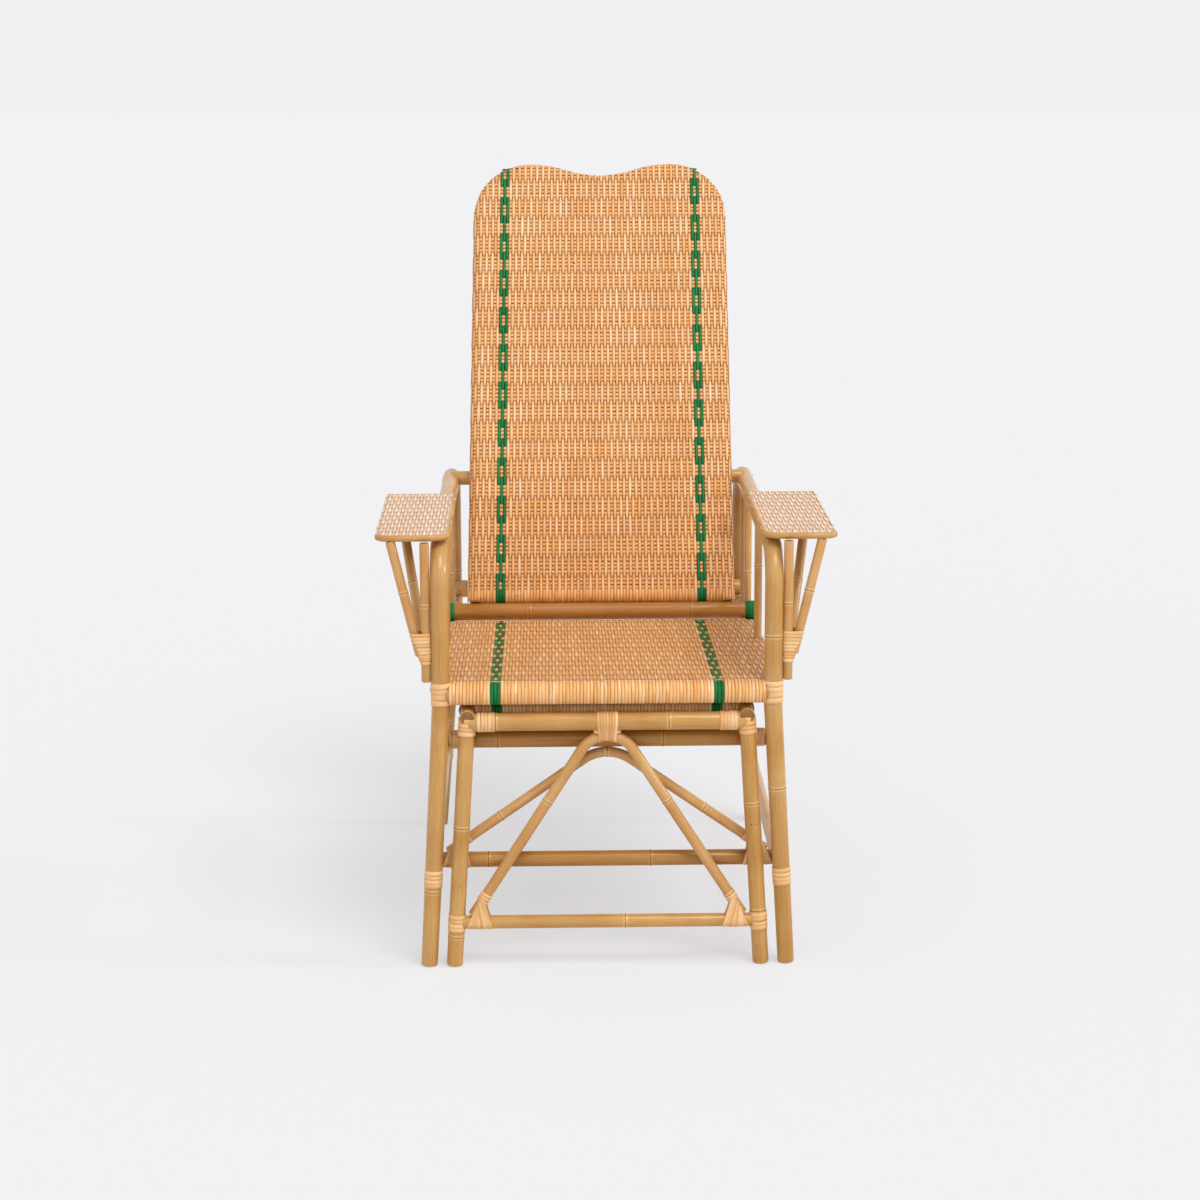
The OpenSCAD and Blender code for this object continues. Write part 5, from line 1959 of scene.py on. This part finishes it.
@dataclass
class Trays:
    """The two small trays over the arms, with their posts and struts."""

    plan: Plan
    finishes: Finishes
    rim: float = 0.0095
    corner: float = 0.032
    outer_corner: float = 0.017
    weave_up: float = 0.0034
    post_foot: float = 0.434
    front_strut: tuple[float, ...] = (0.2722, 0.0005, 0.4735, 0.3185, 0.014, 0.660)
    rear_strut: tuple[float, ...] = (0.2661, 0.0165, 0.4705, 0.3035, 0.155, 0.660)

    def rim_strip(self, side: Side) -> None:
        """Bends the strip round the inner side and the front.

        Args:
            side: which tray.
        """
        name = f"tray_rim_{side.word}"
        lowest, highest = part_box(name)
        half, z = self.rim / 2, mid(name).z
        inner = min(abs(lowest.x), abs(highest.x)) + half
        outer = max(abs(lowest.x), abs(highest.x)) - half
        corners = [(inner, highest.y, z), (inner, lowest.y + half, z), (outer, lowest.y + half, z),
                   (outer, lowest.y + half + self.outer_corner, z)]
        route = rounded([mirrored(Vector(corner), side.value) for corner in corners],
                        [self.corner - half, self.outer_corner - 0.002])
        pole = Pole(name + "_strip", route, half, (0.3,), sides=20, bevel=0.0012, swell=0.00015,
                    bend_step=0.003)
        self.finishes.stand(pole, Body.FRAME, Slot.POLE, name)

    def weave(self, side: Side) -> None:
        """Weaves one tray.

        Args:
            side: which tray.
        """
        rim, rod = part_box("tray_rim_right"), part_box("tray_rod_right")
        half, rod_r, up = self.rim / 2, half_height("tray_rod_right"), self.weave_up
        middle = (rim[0].x + rim[1].x) / 2
        outer = rod[1].x - rod_r - middle
        inner = middle - (rim[0].x + half)
        length = rod[1].y - rod_r - (rim[0].y + half)
        origin = Vector((middle, rim[0].y + half, (rod[0].z + rod[1].z) / 2 + up))
        face = Face(origin, REARWARD, UPWARD, Roll(0.0, up), Roll(length, up), Roll(outer, up))
        # A high tone, a strong painted highlight and the lighter cane paint in the trays' sheen.
        weave = Weave(f"tray_{side.word}", face, 0.0064, -0.004, range(1, 56), range(-11, 11), thick=0.0008,
                      lift=0.0008, sink=0.0003, tone=0.66, shine=1.0, focus=4.0, pale=True,
                      mirror=float(side.value))
        bend = self.corner - half

        def start_at(gap: float) -> float:
            """Where a strand starts, a distance inside the rim's round corner."""
            return bend - math.sqrt(max(bend ** 2 - (bend - gap) ** 2, 0)) if gap < bend else 0.0

        for warp in weave.warps:
            past = weave.at(warp) > outer - half
            weave.edges[warp] = (self.outer_corner if past else start_at(weave.at(warp) + inner),
                                 length + 3.0 * up)
        for weft in weave.wefts:
            v = weave.weft_at(weft)
            end = outer + (3.0 * up if v > self.outer_corner else -half)
            weave.cut[weft] = [(start_at(v) - inner, end)]
        weave.build(Body.FRAME, self.finishes, f"tray_weave_{side.word}")

    def struts(self, side: Side) -> None:
        """Stands the post and the two struts.

        Args:
            side: which tray.
        """
        leg_y, post_x = self.plan.leg_y, self.plan.post_x
        top = low("tray_rim_right").z - 0.0003
        for word, places in (("tray_post", (post_x, 0.0, self.post_foot, post_x, 0.0, top)),
                             ("tray_front_strut", self.front_strut), ("tray_rear_strut", self.rear_strut)):
            foot, head = places[:3], places[3:]
            share = (top - foot[2]) / (head[2] - foot[2])
            x, y, z = (f + (h - f) * share for f, h in zip(foot, head))
            name = f"{word}_{side.word}"
            route = line_of((side.value * foot[0], leg_y + foot[1], foot[2]), (side.value * x, leg_y + y, z))
            pole = Pole(name + "_rod", route, self.plan.strut_r, (0.55,), sides=20, bevel=0.0008)
            self.finishes.stand(pole, Body.FRAME, Slot.ROD, name)

    def build(self) -> None:
        """Builds both trays."""
        for side in Side:
            self.rim_strip(side)
            self.weave(side)
            self.struts(side)
            self.finishes.repaint(f"tray_rod_{side.word}", self.finishes.hidden)


Draw = Callable[[Bundle, int, np.random.Generator], None]


@dataclass
class Lashings:
    """Every lashing of peel that ties the poles."""

    plan: Plan
    finishes: Finishes
    footrest: Footrest
    thick: float = 0.0008
    leg_strip: float = 0.0065
    play: float = 0.0002
    front_foot_x: float = 0.2655
    rear_foot_x: float = 0.273
    leg_taper: float = 0.00125
    low_ring: tuple[float, float] = (0.122, 0.148)
    fan_strips: int = 8
    fan_climb: tuple[float, float] = (0.003, 0.027)
    fan_start: float = 0.004
    fan_width: float = 2.9
    strut_turns: int = 9
    strut_fan: float = 0.0164
    strut_tie_r: float = 0.0069
    centre_pitch: float = 0.0044
    centre_waist: float = 0.86

    def gather(self, name: str, body: Body, draw: Draw, slot: Slot = Slot.PEEL) -> None:
        """Draws a lashing on both sides and dresses it.

        Args:
            name: the CAD node.
            body: what it moves with.
            draw: function of the bundle, the side's sign and the source of small differences.
            slot: the record's slot.
        """
        luck = np.random.default_rng(SEED + hash_of(name))
        bundle = Bundle(name + "_strips")
        for side in Side:
            draw(bundle, side.value, luck)
        self.finishes.dress(bundle.piece(), body, slot, name)

    def turns(self, first: Vector, last: Vector, radius: float, strip: float,
              thick: float | None = None) -> Draw:
        """A drawing function for turns round a straight stretch of pole.

        Args:
            first: start of the stretch, on the right.
            last: its end.
            radius: the pole's radius.
            strip: width of a strip.
            thick: thickness of a strip, if it isn't the usual one.
        Returns:
            The drawing function.
        """
        def draw(bundle: Bundle, sign: int, luck: np.random.Generator) -> None:
            """Lays the turns on one side."""
            ends = mirrored(first, sign), mirrored(last, sign)
            Wrap(*ends, radius, strip, thick or self.thick).lay_in(bundle, luck)

        return draw

    def leg_at(self, rear: bool, z: float) -> Vector:
        """Middle of the right front or rear leg at a height."""
        plan = self.plan
        y, knee = (plan.rear_y, plan.rear_knee) if rear else (plan.leg_y, plan.front_knee)
        foot_x, back = (self.rear_foot_x, plan.rear_back) if rear else (self.front_foot_x, 0.0)
        share = max(1 - z / knee, 0)
        return Vector((plan.arm_x + (foot_x - plan.arm_x) * share, y + back * share, z))

    def leg_ring(self, rear: bool, span: tuple[float, float], strip: float) -> Draw:
        """A drawing function for turns round a leg.

        Args:
            rear: whether it is a rear leg.
            span: heights between which the turns lie.
            strip: width of a strip.
        Returns:
            The drawing function.
        """
        lower = max(1 - sum(span) / 2 / self.plan.front_knee, 0)
        return self.turns(self.leg_at(rear, span[0]), self.leg_at(rear, span[1]),
                          self.plan.hoop_r - self.leg_taper * lower, strip)

    def footrest_ring(self, start: float, end: float) -> Draw:
        """A drawing function for turns round a footrest leg between two heights."""
        rest, y = self.footrest, mid("footrest_front_bar").y
        inward = (rest.foot_x - rest.runner_x) / rest.runner_z
        ends = (Vector((rest.foot_x - inward * z, y, z)) for z in (start, end))
        return self.turns(*ends, rest.leg_r, self.leg_strip)

    def arch_foot(self, arch: Arch, bar: str) -> Draw:
        """A drawing function for the fan of strips that ties an arch's foot to its bar.

        Args:
            arch: the arch.
            bar: the bar's CAD node.
        Returns:
            The drawing function.
        """
        foot, first = (Vector(point) for point in arch.route()[:2])
        climb = (first - foot).normalized()
        bar_r, bar_z = half_height(bar), mid(bar).z
        bottom, top = self.fan_climb

        def draw(bundle: Bundle, sign: int, luck: np.random.Generator) -> None:
            """Lays the fan on one side."""
            for number in range(self.fan_strips):
                share = number / (self.fan_strips - 1)
                base = Vector((foot.x + self.fan_start - share * self.fan_width * bar_r, foot.y, bar_z))
                rise = foot + climb * (bottom + (top - bottom) * share) - base
                plane = Plane(mirrored(base, sign), REARWARD, mirrored(rise, sign).normalized())
                circles = [(0.0, 0.0, bar_r), (0.0, rise.length, arch.rod_r)]
                bundle.lay(belt(plane, circles, 0.0026, self.thick, luck.uniform(0.2, 0.8),
                                luck.uniform(-LEAN, LEAN), 48))
            side = mirrored(climb, sign).cross(REARWARD).normalized()
            for number in range(3):
                plane = Plane(mirrored(foot + climb * (top + 0.0052 * number), sign), REARWARD, side)
                bundle.lay(belt(plane, [(0.0, 0.0, arch.rod_r)], 0.0025, self.thick, luck.uniform(0.3, 0.9),
                                luck.uniform(-0.0006, 0.0006)))

        return draw

    def centre_tie(self, arch: Arch) -> None:
        """Ties the footrest's arch to the middle of its front bar.

        Args:
            arch: the footrest's arch brace.
        """
        luck = np.random.default_rng(SEED + 5)
        bundle = Bundle("footrest_centre_lashing_strips")
        bar = "footrest_front_bar"
        y, bar_z, bar_r = mid(bar).y, mid(bar).z, half_height(bar)
        arch_z = high(arch.node).z - arch.rod_r
        for number in range(7):
            x = (number - 3) * self.centre_pitch
            drop = (arch_z - bar_z) - (arch.bend_r - math.sqrt(arch.bend_r ** 2 - x ** 2)) + 0.0006
            strand = belt(Plane(Vector((x, y, bar_z)), REARWARD, UPWARD),
                          [(0.0, 0.0, bar_r), (0.0, drop, arch.rod_r)], 0.0021, self.thick,
                          luck.uniform(0.25, 0.85), 0.0, 52)
            share = np.clip((bar_z - strand.points[:, 2]) / (bar_z - arch_z), 0, 1)
            strand.points[:, 0] += (self.centre_waist * x - x) * share
            bundle.lay(strand)
        waist = (bar_z - bar_r + arch_z + arch.rod_r) / 2
        for number in range(2):
            plane = Plane(Vector((0, y, waist - 0.0015 + 0.003 * number)), RIGHTWARD, REARWARD)
            bundle.lay(belt(plane, [(-0.0100, 0.0, 0.0093), (0.0100, 0.0, 0.0093)], 0.0022, self.thick,
                            luck.uniform(0.4, 0.8), 0.0004, 48))
        self.finishes.dress(bundle.piece(), Body.FOOTREST, Slot.PEEL, "footrest_centre_lashing")

    def strut_tie(self, bundle: Bundle, sign: int, luck: np.random.Generator) -> None:
        """Ties the feet of a tray's post and struts together.

        Args:
            bundle: where the strips go.
            sign: the side's sign.
            luck: source of small differences.
        """
        lowest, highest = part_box("strut_lashings")
        pitch = (highest.z - lowest.z) / self.strut_turns
        x, y, radius = self.plan.post_x, self.plan.leg_y, self.strut_tie_r
        for number in range(self.strut_turns):
            reach = self.strut_fan * (number + 0.5) / self.strut_turns
            plane = Plane(Vector((0, 0, lowest.z + (number + 0.5) * pitch)), RIGHTWARD, REARWARD)
            circles = [(sign * x, y, self.plan.strut_r), (sign * (x + reach), y + 0.0008, radius),
                       (sign * (x + 0.3 * reach), y + 0.6 * reach, radius)]
            bundle.lay(belt(plane, circles, pitch * 0.53, self.thick, luck.uniform(0.35, 0.75),
                            luck.uniform(-LEAN, LEAN), 48))

    def hinge(self, bundle: Bundle, sign: int, luck: np.random.Generator) -> None:
        """Binds the pivot bar's end to the side rail with green peel.

        Args:
            bundle: where the strips go.
            sign: the side's sign.
            luck: source of small differences.
        """
        centre, radius, rail_r = mid("pivot_bar"), half_height("pivot_bar"), self.plan.rail_r
        for number in range(3):
            origin = Vector((sign * self.plan.arm_x + (number - 1) * 0.005, centre.y, centre.z))
            plane = Plane(origin, REARWARD, UPWARD)
            bundle.lay(belt(plane, [(0.0, 0.0, radius + self.play)], 0.00245, self.thick,
                            luck.uniform(0.3, 0.7)))
        first, last = (Vector((self.plan.arm_x, centre.y + y, centre.z - radius - rail_r - self.play))
                       for y in (-0.015, 0.015))
        self.turns(first, last, rail_r, 0.005)(bundle, sign, luck)

    def rear_seat(self, bundle: Bundle, sign: int, luck: np.random.Generator) -> None:
        """Ties the side rail and the rear crossbar to the rear leg.

        Args:
            bundle: where the strips go.
            sign: the side's sign.
            luck: source of small differences.
        """
        x, y, rail_r, bar = self.plan.arm_x, self.plan.rear_y, self.plan.rail_r, mid("rear_crossbar")
        z = low("seat_side_rail_right").z + rail_r
        self.leg_ring(True, (0.3937, 0.4397), 0.0076)(bundle, sign, luck)
        self.turns(Vector((x, y - 0.0435, z + 0.0007)), Vector((x, y - 0.0145, z + 0.0002)), rail_r,
                   0.0058)(bundle, sign, luck)
        self.turns(Vector((x - 0.0138, bar.y, bar.z)), Vector((x - 0.0262, bar.y, bar.z)), 0.0125, 0.0042,
                   0.0014)(bundle, sign, luck)

    def bar_ring(self, bar: str, places: tuple[float, float], radius: float, strip: float) -> Draw:
        """A drawing function for turns round a bar along X."""
        first, last = (Vector((x, mid(bar).y, mid(bar).z)) for x in places)
        return self.turns(first, last, radius, strip)

    def build(self, front_arch: Arch, footrest_arch: Arch) -> None:
        """Ties everything.

        Args:
            front_arch: the frame's arch brace.
            footrest_arch: the footrest's arch brace.
        """
        seat = low("front_seat_lashings").z, high("front_seat_lashings").z
        for name, body, draw in (
                ("front_seat_lashings", Body.FRAME, self.leg_ring(False, seat, 0.0083)),
                ("rear_seat_lashings", Body.FRAME, self.rear_seat),
                ("front_low_lashings", Body.FRAME, self.leg_ring(False, self.low_ring, 0.0066)),
                ("rear_low_lashings", Body.FRAME, self.leg_ring(True, self.low_ring, 0.0066)),
                ("slide_bar_wraps", Body.FRAME, self.bar_ring("slide_bar", (0.2125, 0.2322), 0.0125, 0.0049)),
                ("footrest_bar_wraps", Body.FOOTREST,
                 self.bar_ring("footrest_front_bar", (0.1644, 0.1904), 0.0135, 0.0052)),
                ("footrest_corner_lashings", Body.FOOTREST, self.footrest_ring(0.3535, 0.3795)),
                ("footrest_low_lashings", Body.FOOTREST, self.footrest_ring(0.054, 0.080)),
                ("arch_foot_lashings", Body.FRAME, self.arch_foot(front_arch, "front_low_crossbar")),
                ("footrest_arch_lashings", Body.FOOTREST, self.arch_foot(footrest_arch, "footrest_low_bar")),
                ("strut_lashings", Body.FRAME, self.strut_tie)):
            self.gather(name, body, draw)
        self.gather("hinge_bindings", Body.FRAME, self.hinge, Slot.GREEN)
        self.centre_tie(footrest_arch)


@dataclass
class Studio:
    """Floor, light and camera."""

    finishes: Finishes
    leg_y: float
    floor_size: float = 60.0
    lens: float = 85.31
    pitch: float = math.radians(12.10)
    yaw: float = math.radians(-1.228)
    roll: float = math.radians(-0.180)
    eye: tuple[float, float, float] = (-0.0965, -4.031, 1.4183)

    def floor(self) -> None:
        """Lays the pale floor."""
        bpy.ops.mesh.primitive_plane_add(size=self.floor_size, location=(0, 0, 0))
        ground = bpy.context.active_object
        ground.name = "studio_floor"
        ground.data.materials.append(self.finishes.floor)

    def lamp(self, name: str, aim: tuple[float, float, float], strength: float, spread: float) -> None:
        """Hangs one soft distant lamp.

        Args:
            name: its name.
            aim: direction from the chair towards the lamp.
            strength: its strength.
            spread: how wide it looks from the chair, in degrees.
        """
        light = bpy.data.lights.new(name, "SUN")
        light.energy = strength
        light.angle = math.radians(spread)
        holder = bpy.data.objects.new(name, light)
        holder.rotation_euler = Vector(aim).to_track_quat("Z", "Y").to_euler()
        bpy.context.scene.collection.objects.link(holder)

    def world(self) -> None:
        """Fills the room with even light and shows a pale backdrop to the camera."""
        room = bpy.data.worlds.new("studio")
        bpy.context.scene.world = room
        room.use_nodes = True
        graph = Graph(room.node_tree)
        light = graph.feed(room.node_tree.nodes["Background"], Color=(1.0, 0.99, 0.975, 1.0), Strength=0.58)
        shown = graph.feed(graph.add("Background"), Color=colour(PALE_GREY))
        path = graph.add("LightPath").outputs
        seen = graph.sum("MAXIMUM", path["Is Camera Ray"], path["Is Glossy Ray"])
        graph.blend(seen, light.outputs[0], shown.outputs[0], room.node_tree.nodes["World Output"].inputs[0])

    def camera(self) -> None:
        """Sets the camera at the photograph's place and angle."""
        data = bpy.data.cameras.new("camera")
        data.lens = self.lens
        data.sensor_width = 36.0
        data.clip_end = 200.0
        level, side = math.cos(self.pitch), math.sin(self.yaw)
        forward = Vector((-side * level, math.cos(self.yaw) * level, -math.sin(self.pitch)))
        right = Vector((math.cos(self.yaw), side, 0))
        up = right.cross(forward)
        rolled = right * math.cos(self.roll) + up * math.sin(self.roll)
        upright = up * math.cos(self.roll) - right * math.sin(self.roll)
        holder = bpy.data.objects.new("camera", data)
        place = Matrix((rolled, upright, -forward)).transposed().to_4x4()
        place.translation = Vector(self.eye) + Vector((0, self.leg_y, 0))
        holder.matrix_world = place
        bpy.context.scene.collection.objects.link(holder)
        bpy.context.scene.camera = holder

    def build(self) -> None:
        """Sets up the studio."""
        self.floor()
        self.world()
        self.lamp("key", (0.30, -0.46, 0.84), 1.56, 30.0)
        self.lamp("fill", (-0.45, -0.80, 0.40), 0.46, 60.0)
        self.lamp("side", (0.90, -0.06, 0.32), 0.75, 8.0)
        self.camera()
        bpy.context.scene.view_settings.view_transform = "Standard"


def main() -> None:
    """Builds the chair's looks and the studio."""
    logging.basicConfig(level=logging.INFO, format="%(name)s: %(message)s")
    plan, finishes = Plan(), Finishes()
    Studio(finishes, plan.leg_y).build()
    SideFrame(plan, finishes).build()
    Crossbars(finishes).build()
    front_arch = Arch("front_arch_brace", Body.FRAME, 0.060, 0.0075, (0.2, 0.5, 0.83))
    footrest_arch = Arch("footrest_arch_brace", Body.FOOTREST, 0.044, 0.008, (0.3, 0.7))
    front_arch.build(finishes)
    footrest_arch.build(finishes)
    SeatPanel(plan, finishes).build()
    Back(finishes).build()
    footrest = Footrest(finishes)
    footrest.build()
    Trays(plan, finishes).build()
    Lashings(plan, finishes, footrest).build(front_arch, footrest_arch)
    for node in ("recline_bar_screws", "slide_bar_screws", "back_screws"):
        finishes.repaint(node, finishes.steel)


if __name__ == "__main__":
    main()
